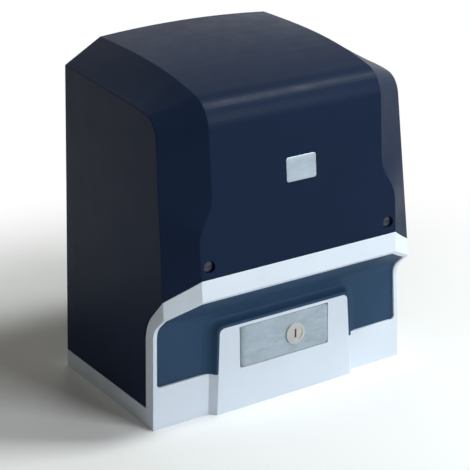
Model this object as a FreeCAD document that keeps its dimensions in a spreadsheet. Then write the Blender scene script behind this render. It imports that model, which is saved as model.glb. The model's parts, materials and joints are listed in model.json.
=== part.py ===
import FreeCAD, Part
import math
import os
import re
import Sketcher
from FreeCAD import Placement, Rotation, Vector

# Sliding gate motor: a plastic cover over a cast base, with a worm gearbox, a vertical motor, a keyed
# release lever and the control electronics inside. Millimetres. X is to the right when facing the
# front, Y runs from the front to the rear, where the drive pinion is, and Z is up. The origin is on
# the ground at the centre of the base, which is also the centre of the four anchor slots.

SIZES = [
    # The housing: cover and lower shell share one outer form.
    ("base_wide", 300, "width on the ground"),
    ("base_deep", 180, "depth on the ground"),
    ("side_lean", 0.04, "how much each side leans in for each unit of height"),
    ("back_lean", 0.03, "how much the back leans in for each unit of height"),
    ("panel_out", 37, "how far the front panel's foot stands out over the base"),
    ("panel_foot", 158.5, "height of the front panel's foot"),
    ("panel_lean", 0.05, "how much the front panel leans back"),
    ("edge_out", 16.5, "how far the outer edges of the bevels stand out, at the foot's height"),
    ("edge_lean", 0.08, "how much those edges lean back"),
    ("ridge_low", 113.4, "half width of the front panel at its foot"),
    ("ridge_high", 97.5, "half width of the front panel and roof above the flare"),
    ("flare_low", 190, "height where the flare starts"),
    ("flare_high", 240, "height where the flare ends"),
    ("roof_high", 354, "height of the roof at the back"),
    ("roof_radius", 760, "radius of the roof's long curve"),
    ("roof_slope", 0.037, "slope of the roof at the back"),
    ("roof_round", 31, "radius between roof and front panel"),
    ("chamfer_high", 320.5, "height of the chamfer's lower edge at the back"),
    ("chamfer_slope", 0.083, "slope of that edge"),
    ("edge_round", 18, "radius where that edge turns down into the bevel's edge"),
    ("cover_wall", 3, "wall of the cover"),
    ("shell_wall", 3, "wall of the lower shell"),
    # The lower shell's skirt, brow and plinth, and the seam under the cover.
    ("skirt_high", 18.5, "height of the skirt at the sides and the back"),
    ("brow_high", 20.3, "height of the brow under the front panel"),
    ("undercut_slope", 0.92, "rise of the undercut for each unit forwards"),
    ("undercut_round", 20, "radius at the undercut's foot"),
    ("seam_back", 13.8, "how far the seam's upright stands behind the front"),
    ("seam_slope", 1.04, "rise of the seam for each unit forwards"),
    ("seam_round", 43, "radius at the seam's bend"),
    ("seam_gap", 0.5, "gap between cover and lower shell"),
    ("sill_high", 43.5, "height of the sill below the inset panel"),
    ("strip_wide", 4.2, "width of the strips beside the inset panel"),
    ("inset_deep", 2, "how far the inset panel lies behind the front"),
    ("inset_thick", 2.5, "thickness of the inset panel"),
    ("inset_gap", 0.2, "clearance round the inset panel"),
    ("block_out", 7.4, "how far the centre block stands out"),
    ("block_high", 90.4, "height of the centre block"),
    ("block_top", 76.3, "half width of the block's face at its top"),
    ("block_foot", 81.7, "half width of the block's face at the ground"),
    ("block_draft", 6, "how much wider the block is on each side where it meets the front"),
    ("block_round", 6, "radius of the block's upper corners"),
    ("ledge_wide", 12, "width of the ledge that sits on the base plate"),
    ("ledge_thick", 3, "thickness of that ledge"),
    # Base plate.
    ("plate_gap", 5, "gap between base plate and lower shell"),
    ("plate_thick", 8, "thickness of the base plate"),
    ("anchor_wide", 230, "anchor spacing across"),
    ("anchor_deep", 110, "anchor spacing front to rear"),
    ("anchor_slot", 30, "length of an anchor slot"),
    ("anchor_radius", 6.5, "half width of an anchor slot, for M12"),
    ("leveller_radius", 4, "radius of the M8 levelling screws"),
    ("leveller_inset", 15, "levelling screws from the base plate's edges"),
    ("leveller_long", 30, "length of a levelling screw"),
    ("cable_left", 92, "cable entry to the left of the centre"),
    ("cable_front", 8, "cable entry in front of the centre"),
    ("gland_bore", 15, "radius of the cable entry's bore"),
    ("gland_wall", 4, "wall of the cable gland"),
    ("gland_rim", 6, "how far the gland's rims overlap the base plate"),
    ("gland_rise", 12, "height of the gland above the base plate"),
    ("small_screw", 2, "radius of the small screws"),
    ("small_head", 3.8, "radius of the small screws' heads"),
    # Release lever, lock and rod.
    ("lever_left", 53.3, "left end of the lever, from the centre"),
    ("lever_right", 51.5, "right end of the lever, from the centre"),
    ("lever_low", 43.9, "lower edge of the lever"),
    ("lever_high", 86.3, "upper edge of the lever"),
    ("lever_thick", 4, "thickness of the lever"),
    ("lever_gap", 0.7, "gap round the lever"),
    ("barrel_radius", 7.5, "radius of the lever's hinge barrel"),
    ("hinge_radius", 2.5, "radius of the hinge pin"),
    ("lock_right", 11.7, "lock to the right of the centre"),
    ("lock_up", 64.2, "height of the lock"),
    ("lock_radius", 8, "radius of the lock cylinder"),
    ("lock_proud", 1.6, "how far the lock's ring stands proud"),
    ("ring_radius", 11.2, "radius of the lock's ring"),
    ("tongue_long", 26, "length of the lock's tongue"),
    ("tongue_thick", 2, "thickness of the tongue"),
    ("release_travel", 6, "travel of the release rod"),
    ("rod_radius", 4, "radius of the release rod"),
    ("run_gap", 0.06, "radial running clearance of shafts and pins"),
    # Gearbox.
    ("gearbox_setback", 23, "gearbox front behind the base's front"),
    ("gearbox_deep", 101, "depth of the gearbox casting"),
    ("gearbox_left", 62, "gearbox to the left of the output shaft"),
    ("gearbox_right", 80, "gearbox to the right of the output shaft"),
    ("gearbox_top", 118, "height of the gearbox casting"),
    ("gearbox_wall", 8, "wall of the gearbox"),
    ("lid_thick", 6, "thickness of the gearbox lid"),
    ("lug_out", 16, "how far the feet stand out"),
    ("lug_high", 12, "thickness of the feet"),
    ("lug_long", 20, "length of a foot"),
    ("foot_screw", 4, "radius of the M8 gearbox screws"),
    ("shaft_high", 65, "height of the output shaft"),
    ("shaft_radius", 10, "radius of the output shaft"),
    ("boss_radius", 30, "radius of the output boss"),
    ("bearing_radius", 21, "outer radius of the output bearings"),
    ("bearing_wide", 12, "width of the output bearings"),
    ("worm_module", 2.5, "module of the worm pair"),
    ("wheel_teeth", 30, "teeth of the worm wheel"),
    ("wheel_wide", 22, "face width of the worm wheel"),
    ("wheel_setback", 21, "worm wheel behind the gearbox front"),
    ("worm_radius", 14, "pitch radius of the worm"),
    ("worm_long", 42, "threaded length of the worm"),
    ("worm_core", 8, "radius of the worm shaft"),
    ("worm_bearing", 16, "outer radius of the worm's bearings"),
    ("worm_bearing_high", 10, "height of the worm's bearings"),
    ("mesh_slack", 0.6, "how much thinner than nominal the worm pair's teeth are"),
    ("dog_count", 6, "dogs of the clutch"),
    ("dog_deep", 4, "depth of the clutch dogs"),
    ("sleeve_long", 18, "length of the clutch sleeve"),
    ("sleeve_radius", 18, "radius of the clutch sleeve"),
    ("groove_wide", 6, "width of the sleeve's groove"),
    ("groove_deep", 4, "depth of the sleeve's groove"),
    ("fork_gap", 0.4, "side clearance of the shift fork in the groove"),
    ("spring_wire", 1, "radius of the clutch spring's wire"),
    # Pinion and rear shield.
    ("pinion_teeth", 18, "teeth of the drive pinion"),
    ("pinion_module", 4, "module of the drive pinion"),
    ("pinion_wide", 30, "face width of the drive pinion"),
    ("pinion_gap", 12, "gap between housing and pinion"),
    ("shield_wide", 64, "width of the rear shield"),
    ("shield_high", 152, "height of the rear shield"),
    ("shield_thick", 3, "thickness of the rear shield"),
    ("shield_gap", 0.6, "gap between rear shield and cover"),
    ("feeler_high", 128, "height of the limit switch's feeler"),
    ("feeler_long", 44, "length of the feeler's spring rod"),
    # Motor.
    ("motor_radius", 54, "radius of the motor's shell without its fins"),
    ("motor_wall", 4, "wall of the motor's shell"),
    ("motor_high", 136, "height of the motor's shell"),
    ("fin_count", 20, "cooling fins"),
    ("fin_out", 4, "how far the fins stand out"),
    ("fin_thick", 2, "thickness of a fin"),
    ("flange_thick", 8, "thickness of the motor's flange and end cap"),
    ("stator_bore", 31, "radius of the stator's bore"),
    ("stator_high", 66, "height of the stator core"),
    ("coil_high", 18, "height of the winding heads"),
    ("air_gap", 0.7, "air gap between rotor and stator"),
    ("fan_radius", 44, "radius of the fan"),
    ("fan_high", 12, "height of the fan's blades"),
    ("fan_blades", 9, "blades of the fan"),
    # Electrical equipment.
    ("frame_left", 125, "left side of the equipment frame"),
    ("frame_right", 14, "right side of the equipment frame, left of the centre"),
    ("frame_thick", 2, "sheet thickness of the equipment frame"),
    ("frame_front", 78, "upright sheet in front of the centre"),
    ("frame_rear", 44, "rear edge of the shelf"),
    ("frame_top", 286, "top of the upright sheet"),
    ("frame_foot", 10, "width of the frame's foot"),
    ("board_wide", 104, "width of the control board"),
    ("board_high", 132, "height of the control board"),
    ("board_thick", 1.6, "thickness of the control board"),
    ("standoff_long", 5, "length of the board's standoffs"),
    ("button_travel", 1.2, "travel of the programming buttons"),
    ("core_wide", 58, "width of the transformer core"),
    ("core_deep", 34, "depth of the transformer core"),
    ("core_high", 54, "height of the transformer core"),
    ("can_radius", 19, "radius of the motor capacitor"),
    ("can_high", 84, "height of the motor capacitor"),
    # Cover screws.
    ("screw_side", 104.2, "cover screws from the centre"),
    ("screw_up", 170.4, "height of the cover screws"),
    ("screw_radius", 2.5, "radius of the cover screws"),
    ("screw_head", 4.9, "radius of the cover screws' heads"),
    ("pocket_radius", 6, "radius of the pocket round a head"),
    ("pocket_deep", 6, "depth of that pocket"),
]
NAMES = {alias for alias, _, _ in SIZES}

# How far a corner of the housing's form moves along each face when all faces move in by one unit.
RIDGE_MITRE = 0.28
EDGE_MITRE = 0.62
CHAMFER_MITRE = 0.5
FAR = 400  # beyond every face, for the blocks that cut
PRESSURE_ANGLE = math.radians(20)

doc = FreeCAD.newDocument("sliding_gate_motor")
sheet = doc.addObject("Spreadsheet::Sheet", "Sizes")
for row, (alias, value, note) in enumerate(SIZES, start=1):
    sheet.set(f"A{row}", alias)
    sheet.set(f"B{row}", str(value))
    sheet.set(f"C{row}", note)
    sheet.setAlias(f"B{row}", alias)
doc.recompute()


# Helpers ------------------------------------------------------------------------------------------

def dim(alias):
    """A driving size, read from the sheet."""
    return float(sheet.get(alias))


def bound(text):
    """An expression's text with each size's name pointed at the sheet."""
    return re.sub(r"[a-z][a-z_]*", lambda m: "Sizes." + m[0] if m[0] in NAMES else m[0], text)


def bind(item, **expressions):
    for name, text in expressions.items():
        item.setExpression(name, bound(text))
    return item


def move(item, x, y, z):
    for letter, text in zip("xyz", (x, y, z)):
        item.setExpression("Placement.Base." + letter, bound(text))
    return item


def block(name, x, y, z):
    """A box between two expressions along each axis."""
    item = doc.addObject("Part::Box", name)
    bind(item, Length=f"({x[1]}) - ({x[0]})", Width=f"({y[1]}) - ({y[0]})", Height=f"({z[1]}) - ({z[0]})")
    return move(item, x[0], y[0], z[0])


TURNS = {"X": Rotation(Vector(0, 1, 0), 90), "Y": Rotation(Vector(1, 0, 0), -90), "Z": Rotation()}


def along(item, axis, start, at):
    """Stands an item along an axis, from start, at two expressions on the other two axes."""
    item.Placement = Placement(Vector(), TURNS[axis])
    places = dict(zip([letter for letter in "XYZ" if letter != axis], at))
    places[axis] = start
    return move(item, places["X"], places["Y"], places["Z"])


def rod(name, radius, axis, start, stop, at=("0", "0")):
    """A cylinder along an axis."""
    item = doc.addObject("Part::Cylinder", name)
    bind(item, Radius=radius, Height=f"({stop}) - ({start})")
    return along(item, axis, start, at)


def cone(name, radius, end_radius, axis, start, stop, at=("0", "0")):
    item = doc.addObject("Part::Cone", name)
    bind(item, Radius1=radius, Radius2=end_radius, Height=f"({stop}) - ({start})")
    return along(item, axis, start, at)


def fuse(name, *items):
    item = doc.addObject("Part::MultiFuse", name)
    item.Shapes = list(items)
    item.Refine = True
    return item


def group(name, *items):
    """Separate solids that share one node."""
    item = doc.addObject("Part::Compound", name)
    item.Links = list(items)
    return item


def cut(name, base, *tools):
    item = doc.addObject("Part::Cut", name)
    item.Base = base
    item.Tool = tools[0] if len(tools) == 1 else fuse(name + "_cuts", *tools)
    item.Refine = True
    return item


def common(name, base, tool):
    item = doc.addObject("Part::Common", name)
    item.Base = base
    item.Tool = tool
    item.Refine = True
    return item


def ring(name, outer, inner, axis, start, stop, at=("0", "0")):
    """A tube along an axis."""
    return cut(name, rod(name + "_outer", outer, axis, start, stop, at),
               rod(name + "_bore", inner, axis, f"({start}) - 1", f"({stop}) + 1", at))


def feature(name, shape):
    """A shape that only Part's own functions can make."""
    item = doc.addObject("Part::Feature", name)
    item.Shape = shape
    return item


def fillet(name, base, radius, chosen, kind="Part::Fillet"):
    """Rounds or chamfers the edges of a base that a test picks by their middle point and direction."""
    doc.recompute()
    item = doc.addObject(kind, name)
    item.Base = base
    picked = []
    for number, edge in enumerate(base.Shape.Edges, start=1):
        span = edge.valueAt(edge.LastParameter) - edge.valueAt(edge.FirstParameter)
        if chosen(edge.CenterOfMass, span):
            picked.append((number, radius, radius))
    item.Edges = picked
    return item


def sketch_on(body, role, offset="0"):
    """A sketch on one of the body's own planes, moved along the plane's normal."""
    sketch = body.newObject("Sketcher::SketchObject", body.Name + "_sketch")
    plane = next(item for item in body.Origin.OriginFeatures if item.Role == role)
    sketch.AttachmentSupport = [(plane, "")]
    sketch.MapMode = "FlatFace"
    sketch.setExpression("AttachmentOffset.Base.z", bound(offset))
    return sketch


def fix_point(sketch, geometry, point, x, y):
    """Holds a point of a sketch at two expressions from its origin."""
    for kind, text in (("DistanceX", x), ("DistanceY", y)):
        number = sketch.addConstraint(Sketcher.Constraint(kind, -1, 1, geometry, point, 1.0))
        sketch.setExpression(f"Constraints[{number}]", bound(text))


def fix_radius(sketch, geometry, radius):
    number = sketch.addConstraint(Sketcher.Constraint("Radius", geometry, 1.0))
    sketch.setExpression(f"Constraints[{number}]", bound(radius))


def draw_rectangle(sketch, x, y):
    corners = [Vector(-1, -1), Vector(1, -1), Vector(1, 1), Vector(-1, 1)]
    first = sketch.GeometryCount
    for here in range(4):
        sketch.addGeometry(Part.LineSegment(corners[here], corners[(here + 1) % 4]), False)
    for here in range(4):
        sketch.addConstraint(Sketcher.Constraint("Coincident", first + here, 2, first + (here + 1) % 4, 1))
        sketch.addConstraint(Sketcher.Constraint("Vertical" if here % 2 else "Horizontal", first + here))
    fix_point(sketch, first, 1, x[0], y[0])
    fix_point(sketch, first + 2, 1, x[1], y[1])


def draw_circle(sketch, radius, x="0", y="0"):
    number = sketch.addGeometry(Part.Circle(Vector(), Vector(0, 0, 1), 1), False)
    fix_radius(sketch, number, radius)
    fix_point(sketch, number, 3, x, y)


def draw_slot(sketch, x, y, length, radius):
    """A slot along the sketch's X, by its centre, overall length and half width."""
    first = sketch.GeometryCount
    for side in (-1, 1):
        circle = Part.Circle(Vector(2 * side, 0), Vector(0, 0, 1), 1)
        start = math.pi / 2 if side < 0 else -math.pi / 2
        sketch.addGeometry(Part.ArcOfCircle(circle, start, start + math.pi), False)
    for side in (1, -1):
        sketch.addGeometry(Part.LineSegment(Vector(-2, side), Vector(2, side)), False)
    for one, end, other, start in ((0, 1, 2, 1), (2, 2, 1, 2), (1, 1, 3, 2), (3, 1, 0, 2)):
        sketch.addConstraint(Sketcher.Constraint("Tangent", first + one, end, first + other, start))
    sketch.addConstraint(Sketcher.Constraint("Equal", first, first + 1))
    for number, sign in ((first, "-"), (first + 1, "+")):
        fix_point(sketch, number, 3, f"{x} {sign} ({length} / 2 - {radius})", y)
    fix_radius(sketch, first, radius)


def pad(body, sketch, length):
    item = body.newObject("PartDesign::Pad", body.Name + "_pad")
    item.Profile = sketch
    return bind(item, Length=length)


def pocket_through(body, sketch):
    item = body.newObject("PartDesign::Pocket", body.Name + "_pocket")
    item.Profile = sketch
    item.Type = "ThroughAll"
    item.Midplane = True
    return item


def repeat_round(body, item, count, role):
    """Repeats a feature round one of the body's own axes."""
    pattern = body.newObject("PartDesign::PolarPattern", body.Name + "_pattern")
    pattern.Originals = [item]
    pattern.Axis = (next(axis for axis in body.Origin.OriginFeatures if axis.Role == role), [""])
    pattern.Angle = 360
    bind(pattern, Occurrences=count)
    body.Tip = pattern
    return pattern


def flat(y, z):
    """A point of a side profile."""
    return Vector(0, y, z)


def round_corner(before, corner, after, radius):
    """Start, middle and end of the arc that rounds a corner of an outline."""
    towards = (before - corner).normalize()
    away = (after - corner).normalize()
    half = towards.getAngle(away) / 2
    middle = corner + (towards + away).normalize() * (radius / math.sin(half) - radius)
    reach = radius / math.tan(half)
    return corner + towards * reach, middle, corner + away * reach


def far_crossing(point, direction, centre, radius):
    """Where a line leaves a circle."""
    step = Vector(direction).normalize()
    gap = point - centre
    middle = -gap.dot(step)
    return point + step * (middle + math.sqrt(middle ** 2 - gap.dot(gap) + radius ** 2))


def line(start, end):
    return Part.LineSegment(start, end).toShape()


def arc(start, middle, end):
    return Part.Arc(start, middle, end).toShape()


def face_of(*edges):
    return Part.Face(Part.Wire(Part.__sortEdges__(list(edges))))


# The housing's form -------------------------------------------------------------------------------

FRONT = "-base_deep / 2"
front = -dim("base_deep") / 2


def panel_y(z, inset=0):
    """The front panel's plane."""
    return front - dim("panel_out") + dim("panel_lean") * (z - dim("panel_foot")) + inset


def rear_y(z, inset=0):
    """The back's plane."""
    return dim("base_deep") / 2 - dim("back_lean") * z - inset


def ridge_edges(side, inset, floor):
    """The crease between the front panel and a bevel, then between the roof and a chamfer."""
    high = side * (dim("ridge_high") - RIDGE_MITRE * inset)
    low = side * (dim("ridge_low") - RIDGE_MITRE * inset)
    radius = dim("roof_radius") - inset
    bend = dim("roof_round") - inset
    slope = Vector(0, 1, dim("roof_slope")).normalize()
    back_top = flat(rear_y(dim("roof_high")), dim("roof_high"))
    centre = back_top + Vector(0, slope.z, -slope.y) * dim("roof_radius")
    rise = Vector(0, dim("panel_lean"), 1).normalize()
    inward = Vector(0, rise.z, -rise.y)
    bend_centre = far_crossing(flat(panel_y(0, inset), 0) + inward * bend, rise, centre, radius - bend)
    outward = (bend_centre - centre).normalize()
    panel_top = bend_centre - inward * bend
    roof_front = bend_centre + outward * bend
    bend_middle = bend_centre + (outward - inward).normalize() * bend
    roof_back = far_crossing(flat(rear_y(0, inset), 0), Vector(0, -dim("back_lean"), 1), centre, radius)
    roof_middle = centre + (roof_front + roof_back - centre * 2).normalize() * radius

    def at(x, point):
        return Vector(x, point.y, point.z)

    def on_panel(x, z):
        return Vector(x, panel_y(z, inset), z)

    flare = (dim("flare_low") + dim("flare_high")) / 2
    curve = Part.BezierCurve()
    curve.setPoles([on_panel(low, dim("flare_low")), on_panel(low, flare),
                    on_panel(high, flare), on_panel(high, dim("flare_high"))])
    return [line(on_panel(low, floor), on_panel(low, dim("flare_low"))),
            curve.toShape(),
            line(on_panel(high, dim("flare_high")), at(high, panel_top)),
            arc(at(high, panel_top), at(high, bend_middle), at(high, roof_front)),
            arc(at(high, roof_front), at(high, roof_middle), at(high, roof_back))]


def side_edges(side, inset, floor):
    """The crease between a bevel and a side, then between a chamfer and that side."""
    forward = front - dim("edge_out") + EDGE_MITRE * inset
    top = dim("chamfer_high") - CHAMFER_MITRE * inset

    def edge_y(z):
        return forward + dim("edge_lean") * (z - dim("panel_foot"))

    def chamfer_z(y):
        return top + dim("chamfer_slope") * (y - dim("base_deep") / 2)

    lean = dim("chamfer_slope") * dim("edge_lean")
    corner_z = chamfer_z(edge_y(0)) / (1 - lean)
    corner = flat(edge_y(corner_z), corner_z)
    back_z = chamfer_z(rear_y(0, inset)) / (1 + dim("chamfer_slope") * dim("back_lean"))
    back = flat(rear_y(back_z, inset), back_z)
    bend = round_corner(flat(edge_y(floor), floor), corner, back, dim("edge_round") - inset)

    def on_side(point):
        return Vector(side * (dim("base_wide") / 2 - dim("side_lean") * point.z - inset), point.y, point.z)

    stops = [flat(edge_y(z), z) for z in (floor, dim("flare_low"), dim("flare_high"))] + [bend[0]]
    edges = [line(on_side(stops[here]), on_side(stops[here + 1])) for here in range(3)]
    return edges + [arc(*[on_side(point) for point in bend]), line(on_side(bend[2]), on_side(back))]


def first_point(edge):
    return edge.valueAt(edge.FirstParameter)


def last_point(edge):
    return edge.valueAt(edge.LastParameter)


def housing_form(inset=0, floor=0):
    """The whole housing as one closed solid, with every face moved in by inset."""
    faces = []
    ridges = {side: ridge_edges(side, inset, floor) for side in (-1, 1)}
    outers = {side: side_edges(side, inset, floor) for side in (-1, 1)}
    for side in (-1, 1):
        for ridge, outer in zip(ridges[side], outers[side]):
            faces.append(Part.makeRuledSurface(ridge, outer))
        heel = Vector(side * (dim("base_wide") / 2 - dim("side_lean") * floor - inset), rear_y(floor, inset), floor)
        faces.append(face_of(*outers[side], line(last_point(outers[side][-1]), heel),
                             line(heel, first_point(outers[side][0]))))
    left, right = ridges[-1], ridges[1]
    faces.append(face_of(*left[:3], *right[:3], line(first_point(left[0]), first_point(right[0])),
                         line(last_point(left[2]), last_point(right[2]))))
    for here in (3, 4):
        faces.append(Part.makeRuledSurface(left[here], right[here]))

    def loop(points):
        return Part.Face(Part.makePolygon(points + points[:1]))

    heels = [Vector(side * (dim("base_wide") / 2 - dim("side_lean") * floor - inset), rear_y(floor, inset), floor)
             for side in (-1, 1)]
    faces.append(loop([heels[0], last_point(outers[-1][-1]), last_point(left[-1]), last_point(right[-1]),
                       last_point(outers[1][-1]), heels[1]]))
    faces.append(loop([heels[0], first_point(outers[-1][0]), first_point(left[0]), first_point(right[0]),
                       first_point(outers[1][0]), heels[1]]))
    shell = Part.Shell(faces)
    shell.sewShape()
    return Part.Solid(shell)


def side_prism(points, bends=()):
    """A side profile right across the housing. Bends maps a corner's number to its radius."""
    bends = dict(bends)
    edges = []
    ends = {}
    for number, radius in bends.items():
        ends[number] = round_corner(points[number - 1], points[number], points[(number + 1) % len(points)], radius)
        edges.append(arc(*ends[number]))
    for number in range(len(points)):
        after = (number + 1) % len(points)
        start = ends[number][2] if number in ends else points[number]
        end = ends[after][0] if after in ends else points[after]
        edges.append(line(start, end))
    outline = face_of(*edges)
    outline.translate(Vector(-FAR, 0, 0))
    return outline.extrude(Vector(2 * FAR, 0, 0))


def undercut(inset=0):
    """Everything in front of the lower front and its undercut, moved in by inset."""
    slope = Vector(0, -1, dim("undercut_slope")).normalize()
    foot = dim("panel_foot") - dim("brow_high")
    lip = flat(panel_y(foot), foot) + Vector(0, slope.z, -slope.y) * inset
    corner = lip + slope * ((front + inset - lip.y) / slope.y)
    points = [flat(-FAR, -FAR), flat(corner.y, -FAR), corner, corner + slope * FAR, flat(-2 * FAR, corner.z)]
    return side_prism(points, {2: dim("undercut_round") + inset})


def below_seam(gap=0):
    """Everything below the seam between lower shell and cover, moved up by gap."""
    slope = Vector(0, -1, dim("seam_slope")).normalize()
    top = flat(panel_y(dim("panel_foot")), dim("panel_foot")) + Vector(0, slope.z, -slope.y) * gap
    upright = front + dim("seam_back") + gap
    corner = top + slope * ((upright - top.y) / slope.y)
    skirt = dim("skirt_high") + gap
    points = [flat(-FAR, -FAR), flat(FAR, -FAR), flat(FAR, skirt), flat(upright, skirt), corner,
              corner + slope * FAR, flat(-2 * FAR, corner.z)]
    return side_prism(points, {4: dim("seam_round") + gap})


# Lower shell, inset panel and cover ---------------------------------------------------------------

BACK = "base_deep / 2"
PLATE_X = "(base_wide / 2 - shell_wall - plate_gap)"
PLATE_Y = "(base_deep / 2 - shell_wall - plate_gap / 2)"
HINGE_X = "(-lever_left + barrel_radius)"
HINGE_Y = f"({FRONT} - block_out + barrel_radius)"
SCREW_FACE = f"({FRONT} - panel_out + panel_lean * (screw_up - panel_foot))"
LUG_FRONT = f"({SCREW_FACE} + pocket_deep + cover_wall + seam_gap)"
SHIELD_REAR = f"({BACK} - back_lean * shield_high - seam_gap)"
SHIELD_FRONT = f"({SHIELD_REAR} - shield_thick)"
LEDGE_ROWS = ("-anchor_deep / 4", "anchor_deep / 4")
SIDES = (("left", "-"), ("right", ""))

outer_form = feature("housing_outer_form", housing_form())


def block_form(inset, reach):
    """The centre block: a loft from its face back through the lower front, to reach behind it."""
    outlines = []
    for depth in (-dim("block_out") + inset, reach):
        spread = dim("block_draft") * (depth + dim("block_out")) / dim("block_out") - inset
        top = dim("block_high") + spread / 3 - inset
        half_top = dim("block_top") + spread
        half_foot = dim("block_foot") + spread
        corners = [Vector(side * half, front + depth, z) for side, half, z in
                   ((-1, half_foot, inset), (-1, half_top, top), (1, half_top, top), (1, half_foot, inset))]
        left = round_corner(corners[0], corners[1], corners[2], dim("block_round"))
        right = round_corner(corners[1], corners[2], corners[3], dim("block_round"))
        outlines.append(Part.Wire([line(corners[0], left[0]), arc(*left), line(left[2], right[0]), arc(*right),
                                   line(right[2], corners[3]), line(corners[3], corners[0])]))
    return Part.makeLoft(outlines, True, True)


def ledge():
    """Ledge inside the skirt that sits on the base plate."""
    low, high = "plate_thick", "plate_thick + ledge_thick"
    outside = block("ledge_outside", ("-base_wide / 2 + shell_wall - 1", "base_wide / 2 - shell_wall + 1"),
                    (f"{FRONT} + shell_wall - 1", f"{BACK} - shell_wall + 0.5"), (low, high))
    inside = block("ledge_inside", (f"-{PLATE_X} + ledge_wide - plate_gap", f"{PLATE_X} - ledge_wide + plate_gap"),
                   (f"{FRONT} + ledge_wide", f"{BACK} - ledge_wide"), (f"{low} - 1", f"{high} + 1"))
    return cut("ledge", outside, inside)


def ledge_spots():
    """Places of the screws that hold the shell to the base plate."""
    return [(f"{sign}({PLATE_X} - ledge_wide / 3)", row) for _, sign in SIDES for row in LEDGE_ROWS]


def cover_lug(name, sign):
    """Angle behind the front panel that a cover screw reaches, open at its top."""
    middle = f"{sign}screw_side"
    width = (f"{middle} - pocket_radius - 1", f"{middle} + pocket_radius + 1")
    foot = block(f"lug_foot_{name}", width, (f"{SCREW_FACE} + shell_wall / 2", f"{LUG_FRONT} + shell_wall"),
                 ("panel_foot - 14", "panel_foot - 10"))
    upright = block(f"lug_upright_{name}", width, (LUG_FRONT, f"{LUG_FRONT} + shell_wall"),
                    ("panel_foot - 14", "screw_up + pocket_radius"))
    slot = block(f"lug_slot_{name}", (f"{middle} - screw_radius - 0.3", f"{middle} + screw_radius + 0.3"),
                 (f"{LUG_FRONT} - 1", f"{LUG_FRONT} + shell_wall + 1"), ("screw_up", "screw_up + 20"))
    hole = rod(f"lug_hole_{name}", "screw_radius + 0.3", "Y", f"{LUG_FRONT} - 1", f"{LUG_FRONT} + shell_wall + 1",
               (middle, "screw_up"))
    return cut(f"lug_{name}", fuse(f"lug_solid_{name}", foot, upright), slot, hole)


def hinge_ear():
    """Lower ear of the lever's hinge, inside the centre block."""
    return block("hinge_ear", (f"{HINGE_X} - barrel_radius", f"{HINGE_X} + barrel_radius"),
                 (f"{FRONT} - block_out + 1", f"{HINGE_Y} + barrel_radius"), ("lever_low - 6.5", "lever_low - 0.4"))


def make_lower_shell():
    """Grey shell: skirt, side strips and brow in one, with the centre block and the cover's lugs."""
    wall = dim("shell_wall")
    outside = cut("lower_form", common("form_below_seam", outer_form, feature("seam_block", below_seam())),
                  feature("undercut_outer", undercut()))
    cavity = cut("lower_cavity", feature("lower_inner_form", housing_form(wall, -1)),
                 feature("undercut_inner", undercut(wall)))
    strips = common("inside_strips", feature("strip_form", housing_form(dim("strip_wide"), -1)),
                    feature("undercut_behind", undercut(wall + 1)))
    above_sill = block("above_sill", ("-base_wide", "base_wide"), ("-base_deep * 2", "0"), ("sill_high", "panel_foot"))
    hollow = cut("lower_hollow", outside, cavity, common("inset_window", strips, above_sill))
    solid_block = feature("centre_block", block_form(0, wall))
    opening = block("lever_opening", ("-lever_left - lever_gap", "lever_right + lever_gap"),
                    (f"{FRONT} - block_out - 1", f"{FRONT} - block_out + shell_wall + 1"),
                    ("lever_low - lever_gap", "lever_high + lever_gap"))
    opened = cut("shell_opened", fuse("shell_with_block", hollow, solid_block),
                 feature("block_hollow", block_form(wall, 2 * wall)), opening)
    whole = fuse("shell_whole", opened, ledge(), hinge_ear(), *[cover_lug(*side) for side in SIDES])
    hinge = rod("hinge_hole", "hinge_radius", "Z", "lever_low - 8", "block_high - 1", (HINGE_X, HINGE_Y))
    holes = [rod(f"ledge_hole_{number}", "small_screw", "Z", "0", "plate_thick + ledge_thick + 1", spot)
             for number, spot in enumerate(ledge_spots())]
    return cut("lower_shell", whole, hinge, *holes)


def make_inset_panel():
    """Navy panel in the recess: it fills the window and laps behind the strips."""
    wall = dim("shell_wall")
    deep = dim("inset_deep") + dim("inset_thick")
    above_sill = block("above_inset_sill", ("-base_wide", "base_wide"), ("-base_deep * 2", "0"),
                       ("sill_high + inset_gap", "panel_foot"))
    face = cut("inset_face", common("inset_zone", feature("inset_form", housing_form(
        dim("strip_wide") + dim("inset_gap"), -1)), feature("inset_behind", undercut(deep))),
        feature("inset_before", undercut(dim("inset_deep"))))
    lap = cut("inset_lap", common("lap_zone", feature("lap_form", housing_form(wall + 0.3, -1)),
                                  feature("lap_behind", undercut(deep))),
              feature("lap_before", undercut(wall)))
    above_lap = block("above_lap", ("-base_wide", "base_wide"), ("-base_deep * 2", "0"),
                      ("sill_high - 5", "panel_foot"))
    whole = fuse("inset_whole", common("inset_upper", face, above_sill), common("lap_upper", lap, above_lap))
    return cut("front_inset_panel", whole, feature("inset_cutout", block_form(-dim("inset_gap"), 3 * wall)))


def rear_arch(name, gap, y, floor):
    """Block with a round top that the rear shield fills and the cover is notched for."""
    half = f"(shield_wide / 2 + {gap})"
    spring_line = "(shield_high - shield_wide / 2)"
    return fuse(name, block(f"{name}_legs", (f"-{half}", half), y, (floor, spring_line)),
                rod(f"{name}_top", half, "Y", y[0], y[1], ("0", spring_line)))


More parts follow.
